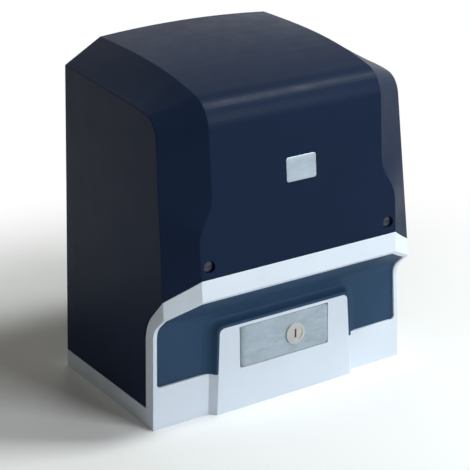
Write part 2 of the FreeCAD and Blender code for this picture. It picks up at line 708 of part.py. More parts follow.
def make_cover():
    """Plastic cover: one wall all round, notched for the rear shield, with two screw pockets."""
    hollow = cut("cover_hollow", outer_form, feature("cover_seam", below_seam(dim("seam_gap"))),
                 feature("cover_inner_form", housing_form(dim("cover_wall"), -1)))
    bosses = []
    cuts = [rear_arch("rear_notch", "shield_gap", ("0", "base_deep"), "0")]
    for name, sign in SIDES:
        spot = (f"{sign}screw_side", "screw_up")
        bosses.append(rod(f"pocket_boss_{name}", "pocket_radius + 2", "Y", f"{SCREW_FACE} + 1",
                          f"{SCREW_FACE} + pocket_deep + cover_wall", spot))
        cuts.append(rod(f"pocket_{name}", "pocket_radius", "Y", f"{SCREW_FACE} - 5",
                        f"{SCREW_FACE} + pocket_deep", spot))
        cuts.append(rod(f"pocket_hole_{name}", "screw_radius", "Y", f"{SCREW_FACE}",
                        f"{SCREW_FACE} + pocket_deep + cover_wall + 1", spot))
    return cut("cover", fuse("cover_with_bosses", hollow, *bosses), *cuts)


def make_cover_screws():
    """Captive screws in the cover's pockets."""
    screws = []
    for name, sign in SIDES:
        spot = (f"{sign}screw_side", "screw_up")
        seat = f"{SCREW_FACE} + pocket_deep"
        head = rod(f"cover_head_{name}", "screw_head", "Y", f"{seat} - 3", seat, spot)
        shank = rod(f"cover_shank_{name}", "screw_radius", "Y", f"{seat} - 1", f"{LUG_FRONT} + shell_wall + 5", spot)
        slot = block(f"cover_slot_{name}", (f"{spot[0]} - screw_head", f"{spot[0]} + screw_head"),
                     (f"{seat} - 4", f"{seat} - 1.8"), ("screw_up - 0.6", "screw_up + 0.6"))
        screws.append(cut(f"cover_screw_{name}", fuse(f"cover_screw_solid_{name}", head, shank), slot))
    return group("cover_screws", *screws)


# Base ---------------------------------------------------------------------------------------------

def hexagon(name, radius, axis, start, stop, at):
    """A hexagonal bar along an axis, by its corner radius."""
    item = doc.addObject("Part::Prism", name)
    item.Polygon = 6
    bind(item, Circumradius=radius, Height=f"({stop}) - ({start})")
    return along(item, axis, start, at)


def foot_spots():
    """Places of the four gearbox feet."""
    ends = (f"{GEAR_FRONT} + lug_long * 0.9", f"{GEAR_BACK} - lug_long / 2")
    sides = ("-gearbox_left - lug_out / 2", "gearbox_right + lug_out / 2")
    return [(x, y) for x in sides for y in ends]


def leveller_spots():
    return [(f"{across}({PLATE_X} - leveller_inset)", f"{along_y}({PLATE_Y} - leveller_inset)")
            for across in ("-", "") for along_y in ("-", "")]


def frame_foot_spots():
    return [("-frame_left + frame_foot * 0.7", f"frame_rear - {place}") for place in (6, 20)]


CABLE = ("-cable_left", "-cable_front")
GEAR_FRONT = f"({FRONT} + gearbox_setback)"
GEAR_BACK = f"({GEAR_FRONT} + gearbox_deep)"


def make_base_plate():
    """Steel plate on the ground, with the anchor slots and the cable entry."""
    body = doc.addObject("PartDesign::Body", "base_plate")
    outline = sketch_on(body, "XY_Plane")
    draw_rectangle(outline, (f"-{PLATE_X}", PLATE_X), (f"-{PLATE_Y}", PLATE_Y))
    pad(body, outline, "plate_thick")
    holes = sketch_on(body, "XY_Plane")
    for across in ("-", ""):
        for along_y in ("-", ""):
            draw_slot(holes, f"{across}anchor_wide / 2", f"{along_y}anchor_deep / 2", "anchor_slot", "anchor_radius")
    draw_circle(holes, "gland_bore + gland_wall", *CABLE)
    for spot in foot_spots():
        draw_circle(holes, "foot_screw", *spot)
    for spot in leveller_spots():
        draw_circle(holes, "leveller_radius", *spot)
    for spot in ledge_spots() + frame_foot_spots():
        draw_circle(holes, "small_screw", *spot)
    pocket_through(body, holes)
    return body


def make_levelling_screws():
    """Four screws through the base plate's threads, each with a lock nut."""
    screws = []
    for number, spot in enumerate(leveller_spots()):
        shank = rod(f"leveller_shank_{number}", "leveller_radius", "Z", "0", "leveller_long", spot)
        nut = hexagon(f"leveller_nut_{number}", "leveller_radius * 1.8", "Z", "plate_thick",
                      "plate_thick + leveller_radius * 1.5", spot)
        screws.append(fuse(f"leveller_{number}", shank, nut))
    return group("levelling_screws", *screws)


def make_cable_gland():
    """Rubber gland in the base plate that the supply cables come up through."""
    tube = rod("gland_tube", "gland_bore + gland_wall", "Z", "0", "plate_thick + gland_rise", CABLE)
    rim = rod("gland_collar", "gland_bore + gland_wall + gland_rim", "Z", "plate_thick", "plate_thick + 3", CABLE)
    bore = rod("gland_hole", "gland_bore", "Z", "-1", "plate_thick + gland_rise + 1", CABLE)
    return cut("cable_gland", fuse("gland_solid", tube, rim), bore)


def screw_set(name, radius, head, axis, seat, tip, spots, head_long, hexagonal=False):
    """Identical screws with their heads on a seat. They share one node."""
    outward = "+" if axis == "Z" else "-"
    screws = []
    for number, spot in enumerate(spots):
        low, high = sorted_ends(axis, tip, seat)
        shank = rod(f"{name}_shank_{number}", radius, axis, low, high, spot)
        start, stop = sorted_ends(axis, seat, f"{seat} {outward} {head_long}")
        shape = hexagon if hexagonal else rod
        screws.append(fuse(f"{name}_{number}", shank, shape(f"{name}_head_{number}", head, axis, start, stop, spot)))
    return group(name, *screws)


def sorted_ends(axis, inner, outer):
    """Screws along Z have their heads up and screws along Y have them to the front."""
    return (inner, outer) if axis == "Z" else (outer, inner)


def make_base_screws():
    """Screws that hold the lower shell and the equipment frame to the base plate."""
    shell = screw_set("shell_screws", "small_screw", "small_head", "Z", "plate_thick + ledge_thick", "1",
                      ledge_spots(), "2.5")
    frame = screw_set("frame_screws", "small_screw", "small_head", "Z", "plate_thick + frame_thick", "1",
                      frame_foot_spots(), "2.5")
    return group("base_screws", shell, frame)


def make_gearbox_screws():
    return screw_set("gearbox_screws", "foot_screw", "foot_screw * 1.75", "Z", "plate_thick + lug_high", "1",
                     foot_spots(), "foot_screw * 1.3", hexagonal=True)


# Release lever and its lock -----------------------------------------------------------------------

LEVER_FACE = f"({FRONT} - block_out)"
LOCK = ("lock_right", "lock_up")


def cam_outline():
    """Spiral cam on the hinge barrel: it grows by the release travel over a quarter turn."""
    centre = Vector(dim("barrel_radius") - dim("lever_left"), front - dim("block_out") + dim("barrel_radius"), 0)
    points = []
    for step in range(13):
        share = step / 12
        radius = dim("barrel_radius") - 0.6 + dim("release_travel") * share
        turn = math.pi / 2 * (1 + share)
        points.append(centre + Vector(math.cos(turn), math.sin(turn), 0) * radius)
    curve = Part.BSplineCurve()
    curve.interpolate(points)
    return face_of(curve.toShape(), line(points[-1], centre), line(centre, points[0]))


def make_release_lever():
    """Lever plate with a rolled hinge barrel and the cam that pushes the release rod."""
    plate = block("lever_plate", (HINGE_X, "lever_right"), (LEVER_FACE, f"{LEVER_FACE} + lever_thick"),
                  ("lever_low", "lever_high"))
    rounded = fillet("lever_plate_round", plate, 3,
                     lambda middle, span: middle.x > dim("lever_right") - 1 and abs(span.y) > 1)
    barrel = rod("lever_barrel", "barrel_radius", "Z", "lever_low", "lever_high", (HINGE_X, HINGE_Y))
    cam = feature("lever_cam", cam_outline().extrude(Vector(0, 0, 3 * dim("rod_radius"))))
    cam.Placement.Base.z = dim("shaft_high") - 1.5 * dim("rod_radius")
    pin = rod("lever_bore", "hinge_radius + run_gap", "Z", "lever_low - 1", "lever_high + 1", (HINGE_X, HINGE_Y))
    lock = rod("lever_lock_bore", "lock_radius + run_gap", "Y", f"{LEVER_FACE} - 1", f"{LEVER_FACE} + lever_thick + 1",
               LOCK)
    return cut("release_lever", fuse("lever_solid", rounded, barrel, cam), pin, lock)


def make_hinge_pin():
    return rod("hinge_pin", "hinge_radius", "Z", "lever_low - 6.5", "block_high - 1", (HINGE_X, HINGE_Y))


def make_lock_ring():
    """Ring pressed round the lock, proud of the lever."""
    return ring("lock_ring", "ring_radius", "lock_radius + run_gap", "Y", f"{LEVER_FACE} - lock_proud", LEVER_FACE,
                LOCK)


def make_lock_cylinder():
    """Lock cylinder with a key slot, turning in the lever."""
    face = f"{LEVER_FACE} - lock_proud * 0.6"
    core = rod("lock_core", "lock_radius", "Y", face, f"{LEVER_FACE} + lever_thick + 0.5", LOCK)
    slot = block("key_slot", ("lock_right - 1.1", "lock_right + 1.1"), (f"{face} - 1", f"{face} + 4"),
                 ("lock_up - lock_radius * 0.6", "lock_up + lock_radius * 0.6"))
    tongue = block("lock_tongue_bar", ("lock_right - lock_radius", "lock_right + tongue_long"),
                   (f"{LEVER_FACE} + lever_thick + 0.5", f"{LEVER_FACE} + lever_thick + 0.5 + tongue_thick"),
                   ("lock_up - lock_radius / 2", "lock_up + lock_radius / 2"))
    return cut("lock_cylinder", fuse("lock_solid", core, tongue), slot)


ROD = (HINGE_X, "shaft_high")
ROD_FRONT = f"({HINGE_Y} + barrel_radius + 0.3)"
ROD_TAIL = f"({GEAR_BACK} + 9.5)"


def make_release_rod():
    """Rod pushed back by the cam. Its tapered tail lifts the release switch's plunger."""
    body = rod("rod_body", "rod_radius", "Y", ROD_FRONT, ROD_TAIL, ROD)
    tail = cone("rod_tail", "rod_radius", "rod_radius - 1.5", "Y", ROD_TAIL, f"{ROD_TAIL} + release_travel", ROD)
    return fuse("release_rod", body, tail)


SWITCH_Y = f"({ROD_TAIL} + release_travel - 0.5)"


def make_release_switch():
    """Microswitch behind the gearbox that stops the motor while it is released."""
    case = block("switch_case", (f"{HINGE_X} - 5", f"{HINGE_X} + 5"), (GEAR_BACK, f"{SWITCH_Y} + 8"),
                 ("shaft_high + rod_radius + 3", "shaft_high + rod_radius + 19"))
    bore = rod("switch_bore", "1 + run_gap", "Z", "shaft_high", "shaft_high + rod_radius + 13", (HINGE_X, SWITCH_Y))
    return cut("release_switch", case, bore)


def make_switch_plunger():
    return rod("switch_plunger", "1", "Z", "shaft_high + rod_radius - 1", "shaft_high + rod_radius + 10",
               (HINGE_X, SWITCH_Y))


# Gearbox ------------------------------------------------------------------------------------------

WORM = ("(wheel_teeth * worm_module / 2 + worm_radius)", f"({GEAR_FRONT} + wheel_setback + wheel_wide / 2)")
SHAFT = ("0", "shaft_high")
WHEEL_FRONT = f"({GEAR_FRONT} + wheel_setback)"
WHEEL_BACK = f"({WHEEL_FRONT} + wheel_wide)"
SLEEVE_FRONT = f"({WHEEL_BACK} + dog_deep)"
SLEEVE_BACK = f"({SLEEVE_FRONT} + sleeve_long)"
GROOVE = f"({SLEEVE_FRONT} + sleeve_long / 3)"
SPRING_SEAT = f"({GEAR_BACK} - gearbox_wall - 5)"
BOSS_END = SHIELD_FRONT
REAR_BEARING = f"({BOSS_END} - 2 * bearing_wide)"
SEAL_FRONT = f"({BOSS_END} - bearing_wide * 0.7)"
LID_FRONT = f"({GEAR_FRONT} - lid_thick)"
PINION_FRONT = f"({BACK} + pinion_gap)"
PINION_BACK = f"({PINION_FRONT} + pinion_wide)"


def make_gearbox_housing():
    """Aluminium casting: open at the front, with feet, the output boss and the worm's bearing seats."""
    outside = block("gearbox_outside", ("-gearbox_left", "gearbox_right"), (GEAR_FRONT, GEAR_BACK),
                    ("plate_thick", "gearbox_top"))
    rounded = fillet("gearbox_round", outside, 6, lambda middle, span: abs(span.z) > 1)
    boss = rod("output_boss", "boss_radius", "Y", f"{GEAR_BACK} - 1", BOSS_END, SHAFT)
    rib = block("boss_rib", ("-3", "3"), (f"{GEAR_BACK} - 1", f"{BOSS_END} - 10"), ("plate_thick", "shaft_high"))
    feet = [block(f"gearbox_foot_{number}", (f"{x} - lug_out / 2 - 0.01", f"{x} + lug_out / 2 + 1") if number < 2
                  else (f"{x} - lug_out / 2 - 1", f"{x} + lug_out / 2"),
                  (f"{y} - lug_long / 2", f"{y} + lug_long / 2"), ("plate_thick", "plate_thick + lug_high"))
            for number, (x, y) in enumerate(foot_spots())]
    cavity = block("gearbox_cavity", ("-gearbox_left + gearbox_wall", "gearbox_right - gearbox_wall"),
                   (f"{GEAR_FRONT} - 1", f"{GEAR_BACK} - gearbox_wall"),
                   ("plate_thick + gearbox_wall", "gearbox_top - gearbox_wall"))
    hollow = cut("gearbox_hollow", fuse("gearbox_solid", rounded, boss, rib, *feet), cavity)
    seats = [rod("worm_seat_low", "worm_bearing + 3", "Z", "plate_thick + 2", "plate_thick + worm_bearing_high + 3",
                 WORM),
             rod("worm_seat_high", "worm_bearing + 3", "Z", "gearbox_top - worm_bearing_high - 2", "gearbox_top - 1",
                 WORM)]
    holes = [rod("worm_bore_low", "worm_bearing", "Z", "plate_thick + 3", "plate_thick + worm_bearing_high + 4", WORM),
             rod("worm_bore_high", "worm_bearing", "Z", "gearbox_top - worm_bearing_high", "gearbox_top + 1", WORM),
             rod("worm_passage", "worm_core + 3", "Z", "gearbox_top - worm_bearing_high - 3", "gearbox_top", WORM),
             rod("output_passage", "shaft_radius + 4", "Y", f"{GEAR_BACK} - gearbox_wall - 1", BOSS_END, SHAFT),
             rod("output_seat", "bearing_radius", "Y", REAR_BEARING, f"{BOSS_END} + 1", SHAFT),
             rod("rod_passage", "rod_radius + run_gap", "Y", f"{GEAR_BACK} - gearbox_wall - 1", f"{GEAR_BACK} + 1", ROD)]
    holes += [rod(f"foot_hole_{number}", "foot_screw", "Z", "0", "plate_thick + lug_high + 1", spot)
              for number, spot in enumerate(foot_spots())]
    holes += [rod(f"lid_hole_{number}", "small_screw", "Y", GEAR_FRONT, f"{GEAR_FRONT} + 14", spot)
              for number, spot in enumerate(lid_spots())]
    holes += [rod(f"flange_hole_{number}", "small_screw", "Z", "gearbox_top - 6", "gearbox_top + 1", spot)
              for number, spot in enumerate(flange_spots())]
    holes += [rod(f"shield_hole_{number}", "small_screw", "Y", f"{BOSS_END} - 8", f"{BOSS_END} + 1", spot)
              for number, spot in enumerate(shield_spots())]
    return cut("gearbox_housing", fuse("gearbox_seated", hollow, *seats), *holes)


def lid_spots():
    across = ("-gearbox_left + gearbox_wall / 2", "9", "gearbox_right - gearbox_wall / 2")
    return [(x, z) for x in across for z in ("plate_thick + gearbox_wall / 2", "gearbox_top - gearbox_wall / 2")]


def flange_spots():
    return [(f"{WORM[0]} + {x} * (worm_bearing + 5)", f"{WORM[1]} + {y} * (worm_bearing + 5)")
            for x, y in ((1, 0), (0, 1), (-1, 0), (0, -1))]


def shield_spots():
    reach = "(bearing_radius + boss_radius) / 2 * 0.7071"
    return [(f"{x} * {reach}", f"shaft_high + {z} * {reach}") for x in (-1, 1) for z in (-1, 1)]


def make_gearbox_lid():
    """Front lid with the seat of the front bearing and the bush for the release rod."""
    body = doc.addObject("PartDesign::Body", "gearbox_lid_plate")
    outline = sketch_on(body, "XZ_Plane", f"-{GEAR_FRONT}")
    draw_rectangle(outline, ("-gearbox_left", "gearbox_right"), ("plate_thick", "gearbox_top"))
    pad(body, outline, "lid_thick")
    holes = sketch_on(body, "XZ_Plane", f"-{GEAR_FRONT}")
    for spot in lid_spots():
        draw_circle(holes, "small_screw", *spot)
    pocket_through(body, holes)
    seat = rod("lid_seat", "bearing_radius + 4", "Y", f"{GEAR_FRONT} - 1", f"{GEAR_FRONT} + bearing_wide", SHAFT)
    bush = rod("lid_bush", "rod_radius + 3", "Y", f"{LID_FRONT} - 1.5", f"{GEAR_FRONT} + bearing_wide", ROD)
    bearing = rod("lid_bore", "bearing_radius", "Y", f"{GEAR_FRONT} - 2", f"{GEAR_FRONT} + bearing_wide + 1", SHAFT)
    hole = rod("lid_rod_bore", "rod_radius + run_gap", "Y", f"{LID_FRONT} - 3", f"{GEAR_FRONT} + bearing_wide + 1", ROD)
    return cut("gearbox_lid", fuse("lid_solid", body, seat, bush), bearing, hole)


def make_output_bearings():
    front_ring = ring("front_bearing", "bearing_radius", "shaft_radius", "Y", f"{GEAR_FRONT} - 2",
                      f"{GEAR_FRONT} - 2 + bearing_wide", SHAFT)
    rear_ring = ring("rear_bearing", "bearing_radius", "shaft_radius", "Y", REAR_BEARING,
                     f"{REAR_BEARING} + bearing_wide", SHAFT)
    return group("output_bearings", front_ring, rear_ring)


def make_shaft_seal():
    return ring("shaft_seal", "bearing_radius", "shaft_radius + run_gap", "Y", SEAL_FRONT,
                f"{BOSS_END} - bearing_wide * 0.1", SHAFT)


def key_bar(name, start, stop, gap="0"):
    """A key on top of the output shaft, or with a gap, its keyway."""
    return block(name, (f"-shaft_radius * 0.3 - {gap}", f"shaft_radius * 0.3 + {gap}"), (start, stop),
                 ("shaft_high + shaft_radius * 0.7", f"shaft_high + shaft_radius * 1.25 + {gap}"))


CLUTCH_KEY = (f"{SLEEVE_FRONT} + 1", SLEEVE_BACK)
PINION_KEY = (f"{PINION_FRONT} + 3", f"{PINION_BACK} - 3")


def make_output_shaft():
    """Shaft with a shoulder before the wheel, a collar for the clutch spring, keyways and a tapped end."""
    bar = rod("shaft_bar", "shaft_radius", "Y", f"{GEAR_FRONT} - 2", PINION_BACK, SHAFT)
    collar = rod("shaft_collar", "shaft_radius + 5", "Y", SPRING_SEAT, f"{SPRING_SEAT} + 3", SHAFT)
    shoulder = rod("shaft_shoulder", "shaft_radius + 4", "Y", f"{GEAR_FRONT} - 2 + bearing_wide", WHEEL_FRONT, SHAFT)
    tapped = rod("shaft_tapping", "foot_screw", "Y", f"{PINION_BACK} - 20", f"{PINION_BACK} + 1", SHAFT)
    return cut("output_shaft", fuse("shaft_solid", bar, collar, shoulder), tapped, key_bar("clutch_keyway", *CLUTCH_KEY),
               key_bar("pinion_keyway", *PINION_KEY))


def make_shaft_keys():
    return group("shaft_keys", key_bar("clutch_key", *CLUTCH_KEY), key_bar("pinion_key", *PINION_KEY))


def gear_outline(teeth, module, slack, y):
    """Closed wire of an involute gear about the output shaft, at one place along it."""
    pitch = module * teeth / 2
    base = pitch * math.cos(PRESSURE_ANGLE)
    root, tip = pitch - 1.25 * module, pitch + module

    def involute(angle):
        return math.tan(angle) - angle

    def half_angle(radius):
        at_pitch = math.pi / 2 / teeth - slack / 2 / pitch
        return at_pitch + involute(PRESSURE_ANGLE) - involute(math.acos(min(1, base / radius)))

    def point(radius, angle):
        return Vector(radius * math.sin(angle), y, dim("shaft_high") + radius * math.cos(angle))

    edges = []
    start = max(base, root)
    radii = [start + (tip - start) * share for share in (0, 0.3, 0.65, 1)]
    for tooth in range(teeth):
        middle = 2 * math.pi * tooth / teeth
        following = middle + 2 * math.pi / teeth
        for sign in (-1, 1):
            flank = Part.BSplineCurve()
            flank.interpolate([point(radius, middle + sign * half_angle(radius)) for radius in radii])
            edges.append(flank.toShape())
            edges.append(line(point(root, middle + sign * half_angle(start)), edges[-1].valueAt(0)))
        edges.append(arc(point(tip, middle - half_angle(tip)), point(tip, middle), point(tip, middle + half_angle(tip))))
        edges.append(arc(point(root, middle + half_angle(start)), point(root, (middle + following) / 2),
                         point(root, following - half_angle(start))))
    return Part.Wire(Part.__sortEdges__(edges))


def dog_ring(name, start, phase):
    """Ring of clutch dogs round the output shaft. Each fills a little under half its share."""
    share = 360 / dim("dog_count")
    dogs = []
    for number in range(int(dim("dog_count"))):
        dog = doc.addObject("Part::Cylinder", f"{name}_{number}")
        bind(dog, Radius="sleeve_radius", Height="dog_deep + 0.5", Angle="360 / dog_count * 0.42")
        along(dog, "Y", start, SHAFT)
        dog.Placement.Rotation = TURNS["Y"] * Rotation(Vector(0, 0, 1), share * (number + phase))
        dogs.append(dog)
    return cut(name, fuse(f"{name}_solid", *dogs), rod(f"{name}_bore", "shaft_radius + 3", "Y", f"{start} - 1",
                                                      f"{start} + dog_deep + 2", SHAFT))


def make_worm_wheel():
    """Bronze wheel with helical teeth, recessed faces and clutch dogs on its rear."""
    teeth = int(dim("wheel_teeth"))
    lead_angle = math.atan(dim("worm_module") / 2 / dim("worm_radius"))
    width = dim("wheel_wide")
    middle = front + dim("gearbox_setback") + dim("wheel_setback") + width / 2
    twist = width * math.tan(lead_angle) / (dim("worm_module") * teeth / 2)
    outlines = []
    for end in (-1, 1):
        outline = gear_outline(teeth, dim("worm_module"), dim("mesh_slack"), middle + end * width / 2)
        outline.rotate(Vector(0, 0, dim("shaft_high")), Vector(0, 1, 0), math.degrees(end * twist / 2))
        outlines.append(outline)
    rim = feature("wheel_rim", Part.makeLoft(outlines, True, True))
    inner, outer = "sleeve_radius + 2", "wheel_teeth * worm_module / 2 - 9"
    recesses = [ring(f"wheel_recess_{number}", outer, inner, "Y", start, stop, SHAFT) for number, (start, stop) in
                enumerate(((f"{WHEEL_FRONT} - 1", f"{WHEEL_FRONT} + 5"), (f"{WHEEL_BACK} - 5", f"{WHEEL_BACK} + 1")))]
    bore = rod("wheel_bore", "shaft_radius + 3", "Y", f"{WHEEL_FRONT} - 1", f"{WHEEL_BACK} + dog_deep + 1", SHAFT)
    return cut("worm_wheel", fuse("wheel_solid", rim, dog_ring("wheel_dogs", f"{WHEEL_BACK} - 0.5", 0)), bore, *recesses)


def make_wheel_bush():
    return ring("wheel_bush", "shaft_radius + 3", "shaft_radius", "Y", WHEEL_FRONT, WHEEL_BACK, SHAFT)


def make_clutch_sleeve():
    """Sleeve that slides on its key: dogs at the front and a groove for the shift fork."""
    bar = rod("sleeve_bar", "sleeve_radius", "Y", SLEEVE_FRONT, SLEEVE_BACK, SHAFT)
    groove = ring("sleeve_groove", "sleeve_radius + 1", "sleeve_radius - groove_deep", "Y", GROOVE,
                  f"{GROOVE} + groove_wide", SHAFT)
    bore = rod("sleeve_bore", "shaft_radius + run_gap", "Y", f"{SLEEVE_FRONT} - dog_deep - 1", f"{SLEEVE_BACK} + 1", SHAFT)
    dogs = dog_ring("sleeve_dogs", f"{SLEEVE_FRONT} - dog_deep", 0.5)
    keyway = key_bar("sleeve_keyway", f"{SLEEVE_FRONT} - dog_deep - 1", f"{SLEEVE_BACK} + 1", "0.1")
    return cut("clutch_sleeve", fuse("sleeve_solid", bar, dogs), groove, bore, keyway)


def make_clutch_spring():
    """Square-wire spring that holds the sleeve in mesh."""
    coil = doc.addObject("Part::Helix", "spring_path")
    bind(coil, Radius="shaft_radius + 2 * spring_wire + 0.6", Pitch="spring_wire * 4",
         Height=f"{SPRING_SEAT} - {SLEEVE_BACK} - 2 * spring_wire - 0.4")
    wire = dim("spring_wire")
    middle = dim("shaft_radius") + 2 * wire + 0.6
    section = doc.addObject("Part::Polygon", "spring_section")
    section.Nodes = [Vector(middle + across * wire, 0, up * wire) for across, up in ((-1, -1), (1, -1), (1, 1), (-1, 1))]
    section.Close = True
    sweep = doc.addObject("Part::Sweep", "clutch_spring")
    sweep.Sections = [section]
    sweep.Spine = (coil, [])
    sweep.Solid = True
    sweep.Frenet = True
    return along(sweep, "Y", f"{SLEEVE_BACK} + spring_wire + 0.2", SHAFT)


def make_shift_fork():
    """Fork on the release rod: half a ring in the sleeve's groove, an arm and a clamped boss."""
    thin = (f"{GROOVE} + fork_gap", f"{GROOVE} + groove_wide - fork_gap")
    arm = block("fork_arm", (HINGE_X, "-sleeve_radius"), thin, ("shaft_high - 6", "shaft_high + 6"))
    tines = common("fork_tines", rod("fork_disc", "sleeve_radius + 5", "Y", *thin, SHAFT),
                   block("fork_half", ("-sleeve_radius - 6", "0"), thin, ("shaft_high - 40", "shaft_high + 40")))
    boss = rod("fork_boss", "rod_radius + 3", "Y", f"{GROOVE} - 4", f"{GROOVE} + groove_wide + 4", ROD)
    clear = rod("fork_clear", "sleeve_radius - groove_deep + fork_gap", "Y", f"{thin[0]} - 1", f"{thin[1]} + 1", SHAFT)
    bore = rod("fork_bore", "rod_radius", "Y", f"{GROOVE} - 5", f"{GROOVE} + groove_wide + 5", ROD)
    return cut("shift_fork", fuse("fork_solid", arm, tines, boss), clear, bore)


def make_worm_shaft():
    """Single-start worm, in one piece with the motor's shaft."""
    worm_low = "shaft_high - worm_long / 2"
    root = "worm_radius - worm_module * 1.25"
    shank = rod("worm_shank", "worm_core", "Z", "plate_thick + 3", f"{FAN_FOOT} + fan_high + 2", WORM)
    core = rod("worm_root", root, "Z", f"{worm_low} - 4", "shaft_high + worm_long / 2 + 4", WORM)
    helix = doc.addObject("Part::Helix", "worm_path")
    bind(helix, Radius=root, Pitch="worm_module * pi", Height="worm_long")
    half = (math.pi * dim("worm_module") / 2 - dim("mesh_slack")) / 2
    flank = math.tan(PRESSURE_ANGLE)
    rise = 1.25 * dim("worm_module")
    low, high = dim("worm_radius") - rise - 0.4, dim("worm_radius") + dim("worm_module")
    profile = doc.addObject("Part::Polygon", "worm_profile")
    profile.Nodes = [Vector(radius, 0, sign * (half - (radius - dim("worm_radius")) * flank))
                     for radius, sign in ((low, -1), (high, -1), (high, 1), (low, 1))]
    profile.Close = True
    thread = doc.addObject("Part::Sweep", "worm_thread")
    thread.Sections = [profile]
    thread.Spine = (helix, [])
    thread.Solid = True
    thread.Frenet = True
    turns = dim("worm_long") / 2 / (math.pi * dim("worm_module"))
    thread.Placement.Rotation = Rotation(Vector(0, 0, 1), 360 * (0.5 - turns))
    move(thread, WORM[0], WORM[1], worm_low)
    return fuse("worm_shaft", shank, core, thread)


def make_worm_bearings():
    """Bearings of the worm and motor shaft: two in the gearbox and one in the motor's cap."""
    spans = (("low", "worm_bearing", "plate_thick + 3", "plate_thick + 3 + worm_bearing_high"),
             ("middle", "worm_bearing", "gearbox_top - worm_bearing_high", "gearbox_top"),
             ("high", "worm_bearing - 2", SHELL_TOP, MOTOR_TOP))
    return group("worm_bearings", *[ring(f"worm_bearing_{name}", outer, "worm_core", "Z", low, high, WORM)
                                    for name, outer, low, high in spans])


def make_drive_pinion():
    """Steel spur pinion outside the back, in mesh with the gate's rack."""
    teeth = int(dim("pinion_teeth"))
    y = dim("base_deep") / 2 + dim("pinion_gap")
    outline = gear_outline(teeth, dim("pinion_module"), 0.2, y)
    rim = feature("pinion_rim", Part.Face(outline).extrude(Vector(0, dim("pinion_wide"), 0)))
    hub = rod("pinion_hub", "shaft_radius + 8", "Y", f"{PINION_FRONT} - pinion_gap / 2", f"{PINION_FRONT} + 1", SHAFT)
    bore = rod("pinion_bore", "shaft_radius", "Y", f"{PINION_FRONT} - pinion_gap", f"{PINION_BACK} + 1", SHAFT)
    return cut("drive_pinion", fuse("pinion_solid", rim, hub), bore, key_bar("pinion_slot", *PINION_KEY))


def make_pinion_bolt():
    """Bolt and washer that hold the pinion on the shaft."""
    washer = ring("pinion_washer", "shaft_radius + 6", "foot_screw", "Y", PINION_BACK, f"{PINION_BACK} + 2.5", SHAFT)
    shank = rod("pinion_bolt_shank", "foot_screw", "Y", f"{PINION_BACK} - 18", f"{PINION_BACK} + 3", SHAFT)
    head = hexagon("pinion_bolt_head", "foot_screw * 1.75", "Y", f"{PINION_BACK} + 2.5", f"{PINION_BACK} + 8", SHAFT)
    return group("pinion_bolt", washer, fuse("pinion_bolt_solid", shank, head))


def make_oil_plugs():
    """Filler and drain plugs in the right wall of the gearbox."""
    plugs = []
    for number, height in enumerate(("plate_thick + gearbox_wall + 10", "gearbox_top - gearbox_wall - 12")):
        spot = (f"{GEAR_BACK} - 45", height)
        plugs.append(hexagon(f"oil_plug_{number}", "foot_screw * 2", "X", "gearbox_right", "gearbox_right + 5", spot))
    return group("oil_plugs", *plugs)


# Rear shield and limit switch ---------------------------------------------------------------------

FEELER = ("0", "feeler_high")


def make_rear_shield():
    """Arched plate that closes the cover's notch round the output shaft and the limit switch."""
    arch = rear_arch("shield_arch", "0", (SHIELD_FRONT, SHIELD_REAR), "skirt_high + seam_gap")
    holes = [rod("shield_shaft_hole", "shaft_radius + 1.5", "Y", f"{SHIELD_FRONT} - 1", f"{SHIELD_REAR} + 1", SHAFT),
             rod("shield_feeler_hole", "7.5", "Y", f"{SHIELD_FRONT} - 1", f"{SHIELD_REAR} + 1", FEELER)]
    holes += [rod(f"shield_screw_hole_{number}", "small_screw", "Y", f"{SHIELD_FRONT} - 1", f"{SHIELD_REAR} + 1", spot)
              for number, spot in enumerate(shield_spots())]
    return cut("rear_shield", arch, *holes)


def make_casing_screws():
    """Screws of the gearbox lid at the front and of the rear shield."""
    screws = [screw_set("lid_screws", "small_screw", "small_head", "Y", LID_FRONT, f"{GEAR_FRONT} + 12", lid_spots(),
                        "2.5")]
    for number, spot in enumerate(shield_spots()):
        shank = rod(f"shield_shank_{number}", "small_screw", "Y", f"{BOSS_END} - 7", SHIELD_REAR, spot)
        head = rod(f"shield_head_{number}", "small_head", "Y", SHIELD_REAR, f"{SHIELD_REAR} + 2.2", spot)
        screws.append(fuse(f"shield_screw_{number}", shank, head))
    return group("casing_screws", *screws)


def make_limit_switch():
    """Limit switch body behind the shield."""
    case = block("limit_case", ("-18", "18"), (f"{SHIELD_FRONT} - 24", SHIELD_FRONT),
                 ("feeler_high - 15", "feeler_high + 15"))
    rounded = fillet("limit_round", case, 2, lambda middle, span: abs(span.y) > 1)
    bore = rod("limit_bore", "5 + run_gap", "Y", f"{SHIELD_FRONT} - 14", f"{SHIELD_FRONT} + 1", FEELER)
    return cut("limit_switch", rounded, bore)


def make_limit_feeler():
    """Sprung rod outside the back that the rack's end stops push to either side."""
    hub = rod("feeler_hub", "5", "Y", f"{SHIELD_FRONT} - 13", f"{SHIELD_REAR} + 2", FEELER)
    knuckle = rod("feeler_knuckle", "7", "Y", f"{SHIELD_REAR} + 1", f"{SHIELD_REAR} + 9", FEELER)
    y = f"{SHIELD_REAR} + 5"
    spring = rod("feeler_spring", "2.6", "Z", "feeler_high + 5", "feeler_high + feeler_long * 0.6", ("0", y))
    wire = rod("feeler_wire", "1.2", "Z", "feeler_high + 5", "feeler_high + feeler_long", ("0", y))
    return fuse("limit_feeler", hub, knuckle, spring, wire)


# Motor --------------------------------------------------------------------------------------------

